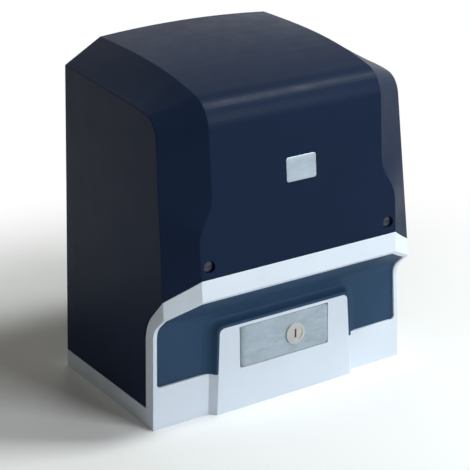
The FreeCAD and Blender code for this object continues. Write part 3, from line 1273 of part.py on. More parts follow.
SHELL_FOOT = "(gearbox_top + flange_thick)"
SHELL_TOP = f"({SHELL_FOOT} + motor_high)"
MOTOR_TOP = f"({SHELL_TOP} + flange_thick)"
FAN_FOOT = f"({MOTOR_TOP} + 4)"
CORE_LOW = f"({SHELL_FOOT} + motor_high / 2 - stator_high / 2)"
CORE_HIGH = f"({CORE_LOW} + stator_high)"


def motor_ring(body, outer, inner, foot, length):
    """Pads a ring about the motor's axis in a body that stands on it."""
    outline = sketch_on(body, "XY_Plane", foot)
    draw_circle(outline, outer)
    draw_circle(outline, inner)
    return pad(body, outline, length)


def on_motor_axis(name):
    body = doc.addObject("PartDesign::Body", name)
    return move(body, WORM[0], WORM[1], "0")


def make_motor_flange():
    """Flange that carries the motor on the gearbox."""
    body = on_motor_axis("motor_flange")
    motor_ring(body, "motor_radius", "worm_core + 3", "gearbox_top", "flange_thick")
    hole = sketch_on(body, "XY_Plane")
    draw_circle(hole, "small_screw", "worm_bearing + 5")
    repeat_round(body, pocket_through(body, hole), "4", "Z_Axis")
    return body


def make_flange_screws():
    return screw_set("flange_screws", "small_screw", "small_head", "Z", f"{SHELL_FOOT}", "gearbox_top - 5",
                     flange_spots(), "2.5")


def make_motor_shell():
    """Shell with cooling fins all round."""
    body = on_motor_axis("motor_shell")
    motor_ring(body, "motor_radius", "motor_radius - motor_wall", SHELL_FOOT, "motor_high")
    fin = sketch_on(body, "XY_Plane", f"{SHELL_FOOT} + 6")
    draw_rectangle(fin, ("motor_radius - 1", "motor_radius + fin_out"), ("-fin_thick / 2", "fin_thick / 2"))
    repeat_round(body, pad(body, fin, "motor_high - 12"), "fin_count", "Z_Axis")
    return body


def make_stator_core():
    return ring("stator_core", "motor_radius - motor_wall", "stator_bore", "Z", CORE_LOW, CORE_HIGH, WORM)


def make_stator_windings():
    """Winding heads above and below the core, chamfered at their free ends."""
    heads = []
    for name, core_end, free_end in (("low", CORE_LOW, f"{CORE_LOW} - coil_high"),
                                     ("high", CORE_HIGH, f"{CORE_HIGH} + coil_high")):
        low, high = (free_end, core_end) if name == "low" else (core_end, free_end)
        head = ring(f"winding_{name}", "motor_radius - motor_wall - 3", "stator_bore + 3", "Z", low, high, WORM)
        core_z = dim("gearbox_top") + dim("flange_thick") + dim("motor_high") / 2
        heads.append(fillet(f"winding_head_{name}", head, 4, lambda middle, span: span.Length < 1
                            and abs(middle.z - core_z) > dim("stator_high") / 2 + 1, "Part::Chamfer"))
    return group("stator_windings", *heads)


def make_rotor_core():
    """Rotor with its two cage rings."""
    core = rod("rotor_body", "stator_bore - air_gap", "Z", CORE_LOW, CORE_HIGH, WORM)
    cages = rod("rotor_cages", "stator_bore - 5", "Z", f"{CORE_LOW} - 6", f"{CORE_HIGH} + 6", WORM)
    bore = rod("rotor_bore", "worm_core", "Z", f"{CORE_LOW} - 7", f"{CORE_HIGH} + 7", WORM)
    return cut("rotor_core", fuse("rotor_solid", core, cages), bore)


def make_motor_cap():
    """Upper end cap with vents and the seat of the upper bearing."""
    body = on_motor_axis("motor_cap")
    motor_ring(body, "motor_radius", "worm_bearing - 2", SHELL_TOP, "flange_thick")
    vent = sketch_on(body, "XY_Plane")
    draw_slot(vent, "(worm_bearing + motor_radius) / 2", "0", "motor_radius * 0.4", "2.5")
    repeat_round(body, pocket_through(body, vent), "10", "Z_Axis")
    return body


def make_motor_fan():
    """Fan with radial blades on a disc."""
    body = on_motor_axis("motor_fan")
    motor_ring(body, "fan_radius", "worm_core", FAN_FOOT, "2")
    motor_ring(body, "worm_core + 6", "worm_core", FAN_FOOT, "fan_high")
    blade = sketch_on(body, "XY_Plane", FAN_FOOT)
    draw_rectangle(blade, ("worm_core + 5", "fan_radius - 1"), ("-1", "1"))
    repeat_round(body, pad(body, blade, "fan_high"), "fan_blades", "Z_Axis")
    return body


# Electrical equipment -----------------------------------------------------------------------------

SHEET_REAR = "(-frame_front + frame_thick)"
BOARD_X = "(-(frame_left + frame_right) / 2)"
BOARD_REAR = "(-frame_front - standoff_long)"
BOARD_FACE = f"({BOARD_REAR} - board_thick)"
BOARD_TOP = "(frame_top - 6)"
BOARD_LOW = f"({BOARD_TOP} - board_high)"
SHELF = "(gearbox_top + frame_thick)"
CAN = ("-frame_right - can_radius - 3", "frame_rear - can_radius - 12")


def make_equipment_frame():
    """Bent sheet: an upright for the board, a shelf with the capacitor's band and a leg to the base plate."""
    width = ("-frame_left", "-frame_right")
    leg = ("frame_rear - 26", "frame_rear")
    upright = block("frame_upright", width, ("-frame_front", SHEET_REAR), ("gearbox_top", "frame_top"))
    shelf = block("frame_shelf", width, ("-frame_front", "frame_rear"), ("gearbox_top", SHELF))
    stand = block("frame_leg", ("-frame_left", "-frame_left + frame_thick"), leg, ("plate_thick", SHELF))
    foot = block("frame_foot_flange", ("-frame_left", "-frame_left + frame_foot + frame_thick"), leg,
                 ("plate_thick", "plate_thick + frame_thick"))
    edge = block("frame_edge", ("-frame_left", "-frame_left + frame_thick"), ("-frame_front", "-frame_front + 14"),
                 ("gearbox_top", "frame_top"))
    holes = [rod(f"frame_hole_{number}", "small_screw", "Z", "0", "gearbox_top / 2", spot)
             for number, spot in enumerate(frame_foot_spots())]
    band = ring("capacitor_band", "can_radius + 2", "can_radius", "Z", f"{SHELF} - 0.5", f"{SHELF} + 14", CAN)
    return cut("equipment_frame", fuse("frame_solid", upright, shelf, stand, foot, edge, band), *holes)


def board_spots():
    return [(f"{BOARD_X} {x} (board_wide / 2 - 5)", z) for x in ("-", "+")
            for z in (f"{BOARD_LOW} + 5", f"{BOARD_TOP} - 5")]


def make_board_standoffs():
    return group("board_standoffs", *[hexagon(f"standoff_{number}", "3.2", "Y", BOARD_REAR, "-frame_front", spot)
                                      for number, spot in enumerate(board_spots())])


def on_board(name, right, up, wide, high, deep):
    """A part soldered on the board's face, by its centre from the board's left and lower edges."""
    x, z = f"{BOARD_X} - board_wide / 2 + {right}", f"{BOARD_LOW} + {up}"
    return block(name, (f"{x} - {wide} / 2", f"{x} + {wide} / 2"), (f"{BOARD_FACE} - {deep}", BOARD_FACE),
                 (f"{z} - {high} / 2", f"{z} + {high} / 2"))


def make_control_board():
    body = doc.addObject("PartDesign::Body", "control_board")
    outline = sketch_on(body, "XZ_Plane", f"-{BOARD_REAR}")
    draw_rectangle(outline, (f"{BOARD_X} - board_wide / 2", f"{BOARD_X} + board_wide / 2"), (BOARD_LOW, BOARD_TOP))
    pad(body, outline, "board_thick")
    return body


def make_relays():
    return group("relays", *[on_board(f"relay_{number}", 20 + 21 * number, 106, 16, 28, 16) for number in range(3)])


def make_terminal_blocks():
    """Two rows of screw terminals along the board's lower edge."""
    rows = []
    for number, middle in enumerate((28, 77)):
        bar = on_board(f"terminal_bar_{number}", middle, 11, 44, 12, 11)
        cells = []
        for cell in range(8):
            x = f"{BOARD_X} - board_wide / 2 + {middle - 22 + 2.75 + 5.5 * cell}"
            cells.append(rod(f"terminal_hole_{number}_{cell}", "1.9", "Y", f"{BOARD_FACE} - 12", f"{BOARD_FACE} - 8",
                             (x, f"{BOARD_LOW} + 11")))
        rows.append(cut(f"terminal_row_{number}", bar, *cells))
    return group("terminal_blocks", *rows)


def make_display():
    return on_board("display", 26, 74, 30, 14, 7)


def make_board_components():
    """Processor and two electrolytic capacitors."""
    pieces = [on_board("processor", 62, 74, 14, 14, 2)]
    for number, right in enumerate((84, 95)):
        x = f"{BOARD_X} - board_wide / 2 + {right}"
        pieces.append(rod(f"board_can_{number}", "4.5", "Y", f"{BOARD_FACE} - 15", BOARD_FACE, (x, f"{BOARD_LOW} + 104")))
    return group("board_components", *pieces)


FUSE_Z = f"({BOARD_LOW} + 36)"
FUSE_X = f"({BOARD_X} - board_wide / 2 + 26)"
FUSE_Y = f"({BOARD_FACE} - 6)"


def make_fuse_clips():
    clips = []
    for number, sign in enumerate(("-", "+")):
        middle = f"{FUSE_X} {sign} 11"
        clip = block(f"fuse_clip_block_{number}", (f"{middle} - 3", f"{middle} + 3"), (f"{BOARD_FACE} - 8", BOARD_FACE),
                     (f"{FUSE_Z} - 4", f"{FUSE_Z} + 4"))
        seat = rod(f"fuse_seat_{number}", "2.6", "X", f"{middle} - 4", f"{middle} + 4", (FUSE_Y, FUSE_Z))
        clips.append(cut(f"fuse_clip_{number}", clip, seat))
    return group("fuse_clips", *clips)


def make_fuse():
    return rod("fuse", "2.6", "X", f"{FUSE_X} - 14", f"{FUSE_X} + 14", (FUSE_Y, FUSE_Z))


BUTTON_PLACES = (66, 86)


def make_button_bases():
    bases = []
    for number, right in enumerate(BUTTON_PLACES):
        x, z = f"{BOARD_X} - board_wide / 2 + {right}", f"{BOARD_LOW} + 40"
        base = on_board(f"button_base_{number}", right, 40, 9, 9, 5)
        well = rod(f"button_well_{number}", "3 + run_gap", "Y", f"{BOARD_FACE} - 6", f"{BOARD_FACE} - 1", (x, z))
        bases.append(cut(f"button_socket_{number}", base, well))
    return group("button_bases", *bases)


def make_button(number):
    x, z = f"{BOARD_X} - board_wide / 2 + {BUTTON_PLACES[number]}", f"{BOARD_LOW} + 40"
    return rod(f"program_button_{number + 1}", "3", "Y", f"{BOARD_FACE} - 8", f"{BOARD_FACE} - 1 - button_travel - 0.3",
               (x, z))


CORE_X = ("-frame_left + 7", "-frame_left + 7 + core_wide")
CORE_Y = ("frame_rear - core_deep - 14", "frame_rear - 14")


def make_transformer_core():
    """Laminated core with two windows."""
    core = block("core_block", CORE_X, CORE_Y, (SHELF, f"{SHELF} + core_high"))
    windows = []
    for name, start in (("left", "core_wide / 6"), ("right", "core_wide * 4 / 6")):
        windows.append(block(f"core_window_{name}", (f"{CORE_X[0]} + {start}", f"{CORE_X[0]} + {start} + core_wide / 6"),
                             (f"{CORE_Y[0]} - 1", f"{CORE_Y[1]} + 1"),
                             (f"{SHELF} + core_wide / 6", f"{SHELF} + core_high - core_wide / 6")))
    return cut("transformer_core", core, *windows)


def make_transformer_coil():
    """Winding round the core's middle limb, bulging in front of and behind it."""
    low, high = f"{SHELF} + core_wide / 6", f"{SHELF} + core_high - core_wide / 6"
    outer = block("coil_block", (f"{CORE_X[0]} + core_wide / 6", f"{CORE_X[0]} + core_wide * 5 / 6"),
                  (f"{CORE_Y[0]} - 8", f"{CORE_Y[1]} + 8"), (low, high))
    rounded = fillet("coil_round", outer, 5, lambda middle, span: abs(span.z) > 1)
    limb = block("coil_limb", (f"{CORE_X[0]} + core_wide / 3", f"{CORE_X[0]} + core_wide * 2 / 3"), CORE_Y,
                 (f"{low} - 1", f"{high} + 1"))
    return cut("transformer_coil", rounded, limb)



def make_motor_capacitor():
    can = rod("can_body", "can_radius", "Z", SHELF, f"{SHELF} + can_high", CAN)
    rounded = fillet("can_round", can, 2, lambda middle, span: middle.z > dim("gearbox_top") + dim("can_high") / 2
                     and span.Length < 1, "Part::Chamfer")
    blades = [block(f"can_blade_{number}", (f"{CAN[0]} {sign} 5 - 0.4", f"{CAN[0]} {sign} 5 + 0.4"),
                    (f"{CAN[1]} - 3", f"{CAN[1]} + 3"), (f"{SHELF} + can_high - 0.5", f"{SHELF} + can_high + 8"))
              for number, sign in enumerate("-+")]
    return fuse("motor_capacitor", rounded, *blades)


# Output -------------------------------------------------------------------------------------------

SUBPARTS = [
    make_lower_shell, make_inset_panel, make_cover, make_cover_screws, make_base_plate, make_levelling_screws,
    make_cable_gland, make_base_screws, make_gearbox_screws, make_release_lever, make_hinge_pin, make_lock_ring,
    make_lock_cylinder, make_release_rod, make_shift_fork, make_release_switch, make_switch_plunger,
    make_gearbox_housing, make_gearbox_lid, make_casing_screws, make_oil_plugs, make_output_bearings,
    make_shaft_seal, make_output_shaft, make_shaft_keys, make_worm_wheel, make_wheel_bush, make_clutch_sleeve,
    make_clutch_spring, make_drive_pinion, make_pinion_bolt, make_worm_shaft, make_worm_bearings,
    make_rear_shield, make_limit_switch, make_limit_feeler, make_motor_flange, make_flange_screws,
    make_motor_shell, make_stator_core, make_stator_windings, make_rotor_core, make_motor_cap, make_motor_fan,
    make_equipment_frame, make_board_standoffs, make_control_board, make_relays, make_terminal_blocks,
    make_display, make_board_components, make_fuse_clips, make_fuse, make_button_bases, make_transformer_core,
    make_transformer_coil, make_motor_capacitor,
]
subparts = [make() for make in SUBPARTS] + [make_button(number) for number in range(len(BUTTON_PLACES))]
doc.recompute()

for item in doc.Objects:
    if "Invalid" in item.State or "Error" in item.State:
        raise RuntimeError(f"{item.Label} failed to build")
for item in subparts:
    if item.Shape.isNull() or not item.Shape.isValid():
        raise RuntimeError(f"{item.Label} has no valid shape")

os.makedirs("parts", exist_ok=True)
for item in subparts:
    item.Shape.exportStep(f"parts/{item.Label}.step")
print(len(subparts), "sub-parts")
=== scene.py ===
"""Finish and fine detail of a sliding gate motor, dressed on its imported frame. Metres, +Z up, front at -Y."""

import json
import math

import bmesh
import bpy
from mathutils import Matrix, Vector


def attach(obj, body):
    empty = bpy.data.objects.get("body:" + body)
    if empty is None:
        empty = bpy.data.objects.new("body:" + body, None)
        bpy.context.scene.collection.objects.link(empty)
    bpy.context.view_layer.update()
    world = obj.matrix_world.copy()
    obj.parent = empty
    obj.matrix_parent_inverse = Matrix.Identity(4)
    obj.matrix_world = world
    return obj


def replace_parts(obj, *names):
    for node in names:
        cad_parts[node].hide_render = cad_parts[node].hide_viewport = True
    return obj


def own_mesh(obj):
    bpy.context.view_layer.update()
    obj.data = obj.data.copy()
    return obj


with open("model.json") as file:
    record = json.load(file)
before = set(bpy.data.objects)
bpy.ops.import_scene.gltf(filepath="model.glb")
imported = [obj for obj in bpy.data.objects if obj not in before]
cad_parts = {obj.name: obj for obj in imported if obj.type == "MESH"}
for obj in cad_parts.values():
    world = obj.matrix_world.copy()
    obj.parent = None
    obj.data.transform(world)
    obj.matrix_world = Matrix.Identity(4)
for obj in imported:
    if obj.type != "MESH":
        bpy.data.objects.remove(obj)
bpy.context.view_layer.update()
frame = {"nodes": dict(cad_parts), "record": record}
NODES = frame["nodes"]

# ---------------------------------------------------------------- node tools


class Finish:
    """A material under construction: makes nodes by type and links them by socket name."""

    def __init__(self, name, **sockets):
        self.material = bpy.data.materials.new(name)
        self.material.use_nodes = True
        self.tree = self.material.node_tree
        self.tree.nodes.clear()
        self.shader = self.node("BsdfPrincipled", **sockets)
        self.output = self.node("OutputMaterial")
        self.link(self.shader, "BSDF", self.output, "Surface")
        self.place = self.node("TexCoord")

    def node(self, kind, **values):
        made = self.tree.nodes.new("ShaderNode" + kind)
        for key, value in values.items():
            title = key.replace("_", " ")
            if title in made.inputs:
                made.inputs[title].default_value = value
            else:
                setattr(made, key, value)
        return made

    def link(self, source, output, target, entry):
        self.tree.links.new(source.outputs[output], target.inputs[entry])

    def coordinates(self, scale=(1, 1, 1), turn=(0, 0, 0)):
        mapping = self.node("Mapping", Scale=scale, Rotation=turn)
        self.link(self.place, "Object", mapping, "Vector")
        return mapping

    def noise(self, scale, detail=3.0, rough=0.55, stretch=(1, 1, 1)):
        noise = self.node("TexNoise", Scale=scale, Detail=detail, Roughness=rough)
        self.link(self.coordinates(stretch), "Vector", noise, "Vector")
        return noise

    def ramp(self, source, output, stops):
        ramp = self.node("ValToRGB")
        while len(ramp.color_ramp.elements) < len(stops):
            ramp.color_ramp.elements.new(0.5)
        for element, (place, color) in zip(ramp.color_ramp.elements, stops):
            element.position = place
            element.color = (*color, 1) if len(color) == 3 else color
        self.link(source, output, ramp, "Fac")
        return ramp

    def spread(self, source, output, low, high, entry):
        """Maps a 0 to 1 pattern onto low to high and feeds the shader's socket with it."""
        mapped = self.node("MapRange")
        mapped.inputs["From Min"].default_value = 0.3
        mapped.inputs["From Max"].default_value = 0.7
        mapped.inputs["To Min"].default_value = low
        mapped.inputs["To Max"].default_value = high
        self.link(source, output, mapped, "Value")
        self.link(mapped, "Result", self.shader, entry)

    def soft_edge(self, radius):
        """Rounds the shading of sharp edges, or does nothing without a radius."""
        return self.node("Bevel", samples=8, Radius=radius) if radius else None

    def bump(self, source, output, depth, strength=1.0, under=None):
        bump = self.node("Bump", Strength=strength, Distance=depth)
        self.link(source, output, bump, "Height")
        if under is not None:
            self.link(under, "Normal", bump, "Normal")
        self.link(bump, "Normal", self.shader, "Normal")


def shade(color, factor):
    return tuple(channel * factor for channel in color)


# ---------------------------------------------------------------- finishes


def moulded(name, color, roughness, grain=0.00002, grain_scale=1600.0, tint=0.12, gloss=0.5, edge=0.0):
    """Moulded plastic with a fine spark-eroded grain, cloudy colour and uneven gloss."""
    finish = Finish(name, Roughness=roughness, IOR=1.46)
    finish.shader.inputs["Specular IOR Level"].default_value = gloss
    cloud = finish.noise(14.0, detail=4.0)
    colors = finish.ramp(cloud, "Fac", [(0.3, shade(color, 1 - tint)), (0.7, shade(color, 1 + tint))])
    finish.link(colors, "Color", finish.shader, "Base Color")
    smudge = finish.noise(38.0, detail=5.0, rough=0.7)
    finish.spread(smudge, "Fac", roughness - 0.05, roughness + 0.06, "Roughness")
    fine = finish.noise(grain_scale, detail=2.0, rough=0.6)
    finish.bump(fine, "Fac", grain, under=finish.soft_edge(edge))
    return finish.material


def sprayed_metal(name, color, roughness, metallic=0.65):
    """Silver spray paint over a casting: flakes, soft orange peel."""
    finish = Finish(name, Roughness=roughness, Metallic=metallic)
    streak = finish.noise(34.0, detail=7.0, rough=0.72, stretch=(1, 1, 2.4))
    colors = finish.ramp(streak, "Fac", [(0.32, shade(color, 0.82)), (0.68, shade(color, 1.14))])
    finish.link(colors, "Color", finish.shader, "Base Color")
    cloud = finish.noise(60.0, detail=4.0)
    finish.spread(cloud, "Fac", roughness - 0.07, roughness + 0.08, "Roughness")
    peel = finish.noise(420.0, detail=2.0)
    finish.bump(peel, "Fac", 0.00006, under=finish.soft_edge(0.001))
    return finish.material


def machined(name, color, roughness, stretch=(1, 1, 60), metallic=1.0, tint=0.1):
    """Turned or ground metal: fine lines along one direction, a little staining."""
    finish = Finish(name, Roughness=roughness, Metallic=metallic)
    stain = finish.noise(45.0, detail=5.0)
    colors = finish.ramp(stain, "Fac", [(0.3, shade(color, 1 - tint)), (0.72, shade(color, 1 + tint))])
    finish.link(colors, "Color", finish.shader, "Base Color")
    lines = finish.noise(700.0, detail=2.0, stretch=stretch)
    finish.spread(lines, "Fac", roughness - 0.08, roughness + 0.1, "Roughness")
    finish.bump(lines, "Fac", 0.00002)
    return finish.material


def cast_metal(name, color, roughness):
    """Die-cast aluminium: matt skin with a fine crust and darker clouds."""
    finish = Finish(name, Roughness=roughness, Metallic=0.9)
    cloud = finish.noise(30.0, detail=6.0)
    colors = finish.ramp(cloud, "Fac", [(0.3, shade(color, 0.82)), (0.7, shade(color, 1.06))])
    finish.link(colors, "Color", finish.shader, "Base Color")
    finish.spread(cloud, "Fac", roughness - 0.06, roughness + 0.1, "Roughness")
    crust = finish.noise(900.0, detail=4.0, rough=0.65)
    finish.bump(crust, "Fac", 0.00012)
    return finish.material


def galvanised(name, color):
    """Zinc-coated sheet with its crystal spangle."""
    finish = Finish(name, Roughness=0.38, Metallic=1.0)
    spangle = finish.node("TexVoronoi", Scale=95.0)
    finish.link(finish.coordinates(), "Vector", spangle, "Vector")
    grey = finish.node("RGBToBW")
    finish.link(spangle, "Color", grey, "Color")
    colors = finish.ramp(grey, "Val", [(0.2, shade(color, 0.8)), (0.8, shade(color, 1.1))])
    finish.link(colors, "Color", finish.shader, "Base Color")
    finish.spread(grey, "Val", 0.3, 0.5, "Roughness")
    scratch = finish.noise(160.0, detail=3.0, stretch=(1, 9, 1))
    finish.bump(scratch, "Fac", 0.00003)
    return finish.material


def layered(name, color, pitch, axis="Z", metallic=0.5, roughness=0.5, depth=0.0001):
    """Stacked sheets or wound wire: even ridges along one axis, with painted shade in the grooves between them.
    """
    finish = Finish(name, Roughness=roughness, Metallic=metallic)
    ridges = finish.node("TexWave", wave_type="BANDS", bands_direction=axis, Scale=1.0, Distortion=0.0)
    finish.link(finish.coordinates((0.314 / pitch,) * 3), "Vector", ridges, "Vector")
    # painted shade: the colour falls to 0.45 of itself in the grooves between the ridges
    colors = finish.ramp(ridges, "Fac", [(0.1, shade(color, 0.45)), (0.6, color)])
    finish.link(colors, "Color", finish.shader, "Base Color")
    wear = finish.noise(120.0, detail=4.0)
    finish.spread(wear, "Fac", roughness - 0.08, roughness + 0.12, "Roughness")
    finish.bump(ridges, "Fac", depth)
    return finish.material


def board_mask(name, color):
    """Solder mask over copper tracks."""
    finish = Finish(name, Roughness=0.32)
    tracks = finish.node("TexBrick", Scale=90.0, Color1=(1, 1, 1, 1), Color2=(0.9, 0.9, 0.9, 1),
                         Mortar=(0, 0, 0, 1))
    tracks.inputs["Mortar Size"].default_value = 0.012
    turned = finish.coordinates((1, 1, 1), (math.radians(90), 0, 0))
    finish.link(turned, "Vector", tracks, "Vector")
    colors = finish.ramp(tracks, "Color", [(0.1, shade(color, 1.9)), (0.5, color)])
    finish.link(colors, "Color", finish.shader, "Base Color")
    cloud = finish.noise(300.0)
    finish.spread(cloud, "Fac", 0.26, 0.4, "Roughness")
    finish.bump(tracks, "Color", 0.00003)
    return finish.material


def clear_glass(name):
    finish = Finish(name, Roughness=0.03, IOR=1.47)
    finish.shader.inputs["Transmission Weight"].default_value = 0.92
    smear = finish.noise(260.0)
    finish.spread(smear, "Fac", 0.02, 0.08, "Roughness")
    tone = finish.ramp(smear, "Fac", [(0.3, (0.86, 0.9, 0.9)), (0.7, (0.94, 0.96, 0.96))])
    finish.link(tone, "Color", finish.shader, "Base Color")
    return finish.material


FINISHES = {
    "navy_cover": moulded("navy_cover", (0.0068, 0.0150, 0.0375), 0.36, tint=0.05, gloss=0.045, edge=0.0016),
    "grey_shell": moulded("grey_shell", (0.60, 0.66, 0.74), 0.45, tint=0.02, gloss=0.2, edge=0.0012),
    "navy_panel": moulded("navy_panel", (0.023, 0.054, 0.104), 0.5, tint=0.05, gloss=0.1, edge=0.001),
    "lever_paint": sprayed_metal("lever_paint", (0.34, 0.41, 0.47), 0.42, metallic=0.45),
    "lock_metal": machined("lock_metal", (0.5, 0.49, 0.48), 0.32),
    "zinc_steel": machined("zinc_steel", (0.55, 0.56, 0.57), 0.35),
    "black_screw": machined("black_screw", (0.05, 0.056, 0.075), 0.34, metallic=0.6),
    "plate_steel": galvanised("plate_steel", (0.56, 0.58, 0.6)),
    "cast_aluminium": cast_metal("cast_aluminium", (0.56, 0.57, 0.58), 0.5),
    "gear_steel": machined("gear_steel", (0.42, 0.42, 0.43), 0.34),
    "bronze": machined("bronze", (0.62, 0.4, 0.16), 0.34),
    "black_rubber": moulded("black_rubber", (0.018, 0.018, 0.018), 0.68, grain=0.00004),
    "lamination": layered("lamination", (0.2, 0.21, 0.23), 0.0008),
    "copper": layered("copper", (0.6, 0.25, 0.1), 0.0011, metallic=0.85, roughness=0.36),
    "fan_plastic": moulded("fan_plastic", (0.02, 0.02, 0.022), 0.5),
    "board_green": board_mask("board_green", (0.008, 0.09, 0.035)),
    "relay_plastic": moulded("relay_plastic", (0.02, 0.06, 0.22), 0.36),
    "terminal_green": moulded("terminal_green", (0.03, 0.28, 0.08), 0.4),
    "component_black": moulded("component_black", (0.014, 0.014, 0.016), 0.44),
    "fuse_glass": clear_glass("fuse_glass"),
    "can_aluminium": machined("can_aluminium", (0.66, 0.67, 0.68), 0.3),
    "button_white": moulded("button_white", (0.66, 0.66, 0.62), 0.4),
}

SLOT_OF = {part["node"]: part["material_slot"] for part in frame["record"]["subparts"]}


def dress_nodes():
    """Puts each CAD node's finish into its own material slots."""
    for name, piece in NODES.items():
        finish = FINISHES[SLOT_OF[name]]
        if not piece.material_slots:
            piece.data.materials.append(finish)
        for slot in piece.material_slots:
            slot.material = finish


dress_nodes()

# ---------------------------------------------------------------- added forms


WELD = 0.00001


def lofted(name, rings, body, slot):
    """A closed solid through rings of points in millimetres, smooth except at sharp edges."""
    count = len(rings[0])
    points = [tuple(value / 1000 for value in point) for ring in rings for point in ring]
    faces = [(start + j, start + (j + 1) % count, start + count + (j + 1) % count, start + count + j)
             for start in range(0, count * (len(rings) - 1), count) for j in range(count)]
    faces += [tuple(range(count)), tuple(range(len(points) - count, len(points)))]
    mesh = bpy.data.meshes.new(name)
    mesh.from_pydata(points, [], faces)
    return finished(name, mesh, body, slot)


def finished(name, mesh, body, slot, crease=24):
    """Turns faces outwards, keeps edges over the crease angle sharp, and puts the piece on its body."""
    work = bmesh.new()
    work.from_mesh(mesh)
    bmesh.ops.recalc_face_normals(work, faces=work.faces)
    work.to_mesh(mesh)
    work.free()
    mesh.shade_smooth()
    mesh.set_sharp_from_angle(angle=math.radians(crease))
    mesh.materials.clear()
    mesh.materials.append(FINISHES[slot])
    piece = bpy.data.objects.new(name, mesh)
    bpy.context.scene.collection.objects.link(piece)
    flats = piece.modifiers.new("flat_faces", "WEIGHTED_NORMAL")
    flats.keep_sharp = True
    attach(piece, body)
    return piece


def eased(low, high, value):
    """Zero below low, one above high, and a smooth rise between."""
    share = min(max((value - low) / (high - low), 0.0), 1.0)
    return share * share * (3 - 2 * share)


# Sizes of the roof in millimetres: half widths, how far it moves, and where each movement fades in.
RIDGE, SHOULDER = 97.5, 137.0
MIDDLE_DROP, RIDGE_DROP, SHOULDER_LIFT = 2.0, 4.2, 5.0
DROP_FADE, LIFT_FADE, HEIGHT_FADE = (-85, 80), (-115, -60), (290, 302)
CUT_SPACING, CUT_WIDE, CUT_FRONT, CUT_BACK, CUT_ABOVE = 12, 132, -108, 84, 0.3


def roof_shift(x, y, z):
    """How far a point of the flat roof moves: the roof crowns and falls to its ridges, the shoulders rise."""
    down = eased(*DROP_FADE, y) * (MIDDLE_DROP + RIDGE_DROP * min(abs(x) / RIDGE, 1.0) ** 2)
    up = SHOULDER_LIFT * eased(*LIFT_FADE, y)
    outwards = min(max((abs(x) - RIDGE) / (SHOULDER - RIDGE), 0.0), 1.0)
    return eased(*HEIGHT_FADE, z) * (up * outwards - down * (1 - outwards))


def welded(node):
    """A CAD node's mesh copied in place, with a work mesh of it whose loose triangles are joined."""
    mesh = node.data.copy()
    mesh.transform(node.matrix_world)
    work = bmesh.new()
    work.from_mesh(mesh)
    bmesh.ops.remove_doubles(work, verts=work.verts, dist=WELD)
    return mesh, work


def crowned_cover():
    """The moulded cover with its roof bowed across and its shoulders lifted."""
    mesh, work = welded(NODES["cover"])
    cuts = [((1, 0, 0), place) for place in range(-CUT_WIDE, CUT_WIDE + 1, CUT_SPACING)]
    cuts += [((0, 1, 0), place) for place in range(CUT_FRONT, CUT_BACK + 1, CUT_SPACING)]
    for normal, place in cuts:
        upper = [face for face in work.faces if max(vert.co.z for vert in face.verts) > CUT_ABOVE]
        edges = {edge for face in upper for edge in face.edges}
        verts = {vert for face in upper for vert in face.verts}
        bmesh.ops.bisect_plane(work, geom=[*upper, *edges, *verts], dist=WELD,
                               plane_co=Vector(normal) * place / 1000, plane_no=normal)
    for vert in work.verts:
        x, y, z = vert.co * 1000
        vert.co.z += roof_shift(x, y, z) / 1000
    work.to_mesh(mesh)
    work.free()
    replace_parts(finished("cover_moulding", mesh, "cover_body", "navy_cover", crease=8), "cover")


# The centre block in millimetres: face, half widths at top and ground, height, rim, corner; the sill.
BLOCK_FACE, BLOCK_TOP, BLOCK_FOOT, BLOCK_HIGH = -97.4, 76.3, 81.7, 90.4
BLOCK_RIM, BLOCK_CORNER, SILL = 3, 5.5, 43.6


def block_path(outset):
    """The centre block's outline above the sill, outset sideways and half as far upwards past its rim."""
    top = BLOCK_HIGH + min(outset, BLOCK_RIM) + max(outset - BLOCK_RIM, 0) / 2

    def half(z):
        return BLOCK_TOP + (BLOCK_FOOT - BLOCK_TOP) * (1 - z / BLOCK_HIGH) + outset

    radius = BLOCK_CORNER + max(outset, 0) / 2
    middle = top - radius
    bend = [(half(middle) - radius * (1 - math.cos(turn)), middle + radius * math.sin(turn))
            for turn in (math.radians(step * 9) for step in range(11))]
    right = [(half(SILL), SILL), (half(60), 60), *bend]
    return [(-x, z) for x, z in right] + [(x, z) for x, z in reversed(right)]


def block_sleeve():
    """Navy sleeve round the grey block: a narrow rim, then a hollow flare into the inset panel."""
    profile = [(-0.6, -87.5), (-0.6, BLOCK_FACE + 0.05), (2.4, BLOCK_FACE + 0.05), (2.9, -96.9), (4.0, -94.8),
               (5.7, -92.4), (8.2, -90.2), (11.2, -88.7), (14.5, -87.9), (14.5, -87.5)]
    paths = [[(x, y, z) for x, z in block_path(outset)] for outset, y in profile]
    lofted("block_sleeve", list(zip(*paths)), "base_body", "navy_panel")


def window_corners():
    """The rounded lower corners of the window that the inset panel lies in."""
    edge, radius = 144.2, 5.0
    for name, side in (("left", -1), ("right", 1)):
        bend = [(edge - radius + radius * math.sin(turn), SILL - 0.1 + radius - radius * math.cos(turn))
                for turn in (math.radians(step * 10) for step in range(10))]
        outline = [(edge, SILL - 0.1), *bend]
        rings = [[(side * x, y, z) for x, z in outline] for y in (-89.97, -87.9)]
        lofted(f"window_corner_{name}", rings, "base_body", "grey_shell")


def panel_plate():
    """A bare plate on the cover's front panel."""
    middle, high, half_wide, half_high, radius = 1.7, 246.0, 17.0, 12.0, 2.5
    panel_front, panel_foot, panel_lean = -127, 158.5, 0.05
    rings = []
    for inset, proud in ((0, -0.4), (0, 0.35), (0.3, 0.6)):
        ring = []
        for turn in range(0, 360, 15):
            angle = math.radians(turn)
            x = math.copysign(half_wide - radius, math.cos(angle)) + (radius - inset) * math.cos(angle)
            z = high + math.copysign(half_high - radius, math.sin(angle)) + (radius - inset) * math.sin(angle)
            ring.append((middle + x, panel_front + panel_lean * (z - panel_foot) - proud, z))
        rings.append(ring)
    lofted("panel_plate", rings, "cover_body", "lever_paint")


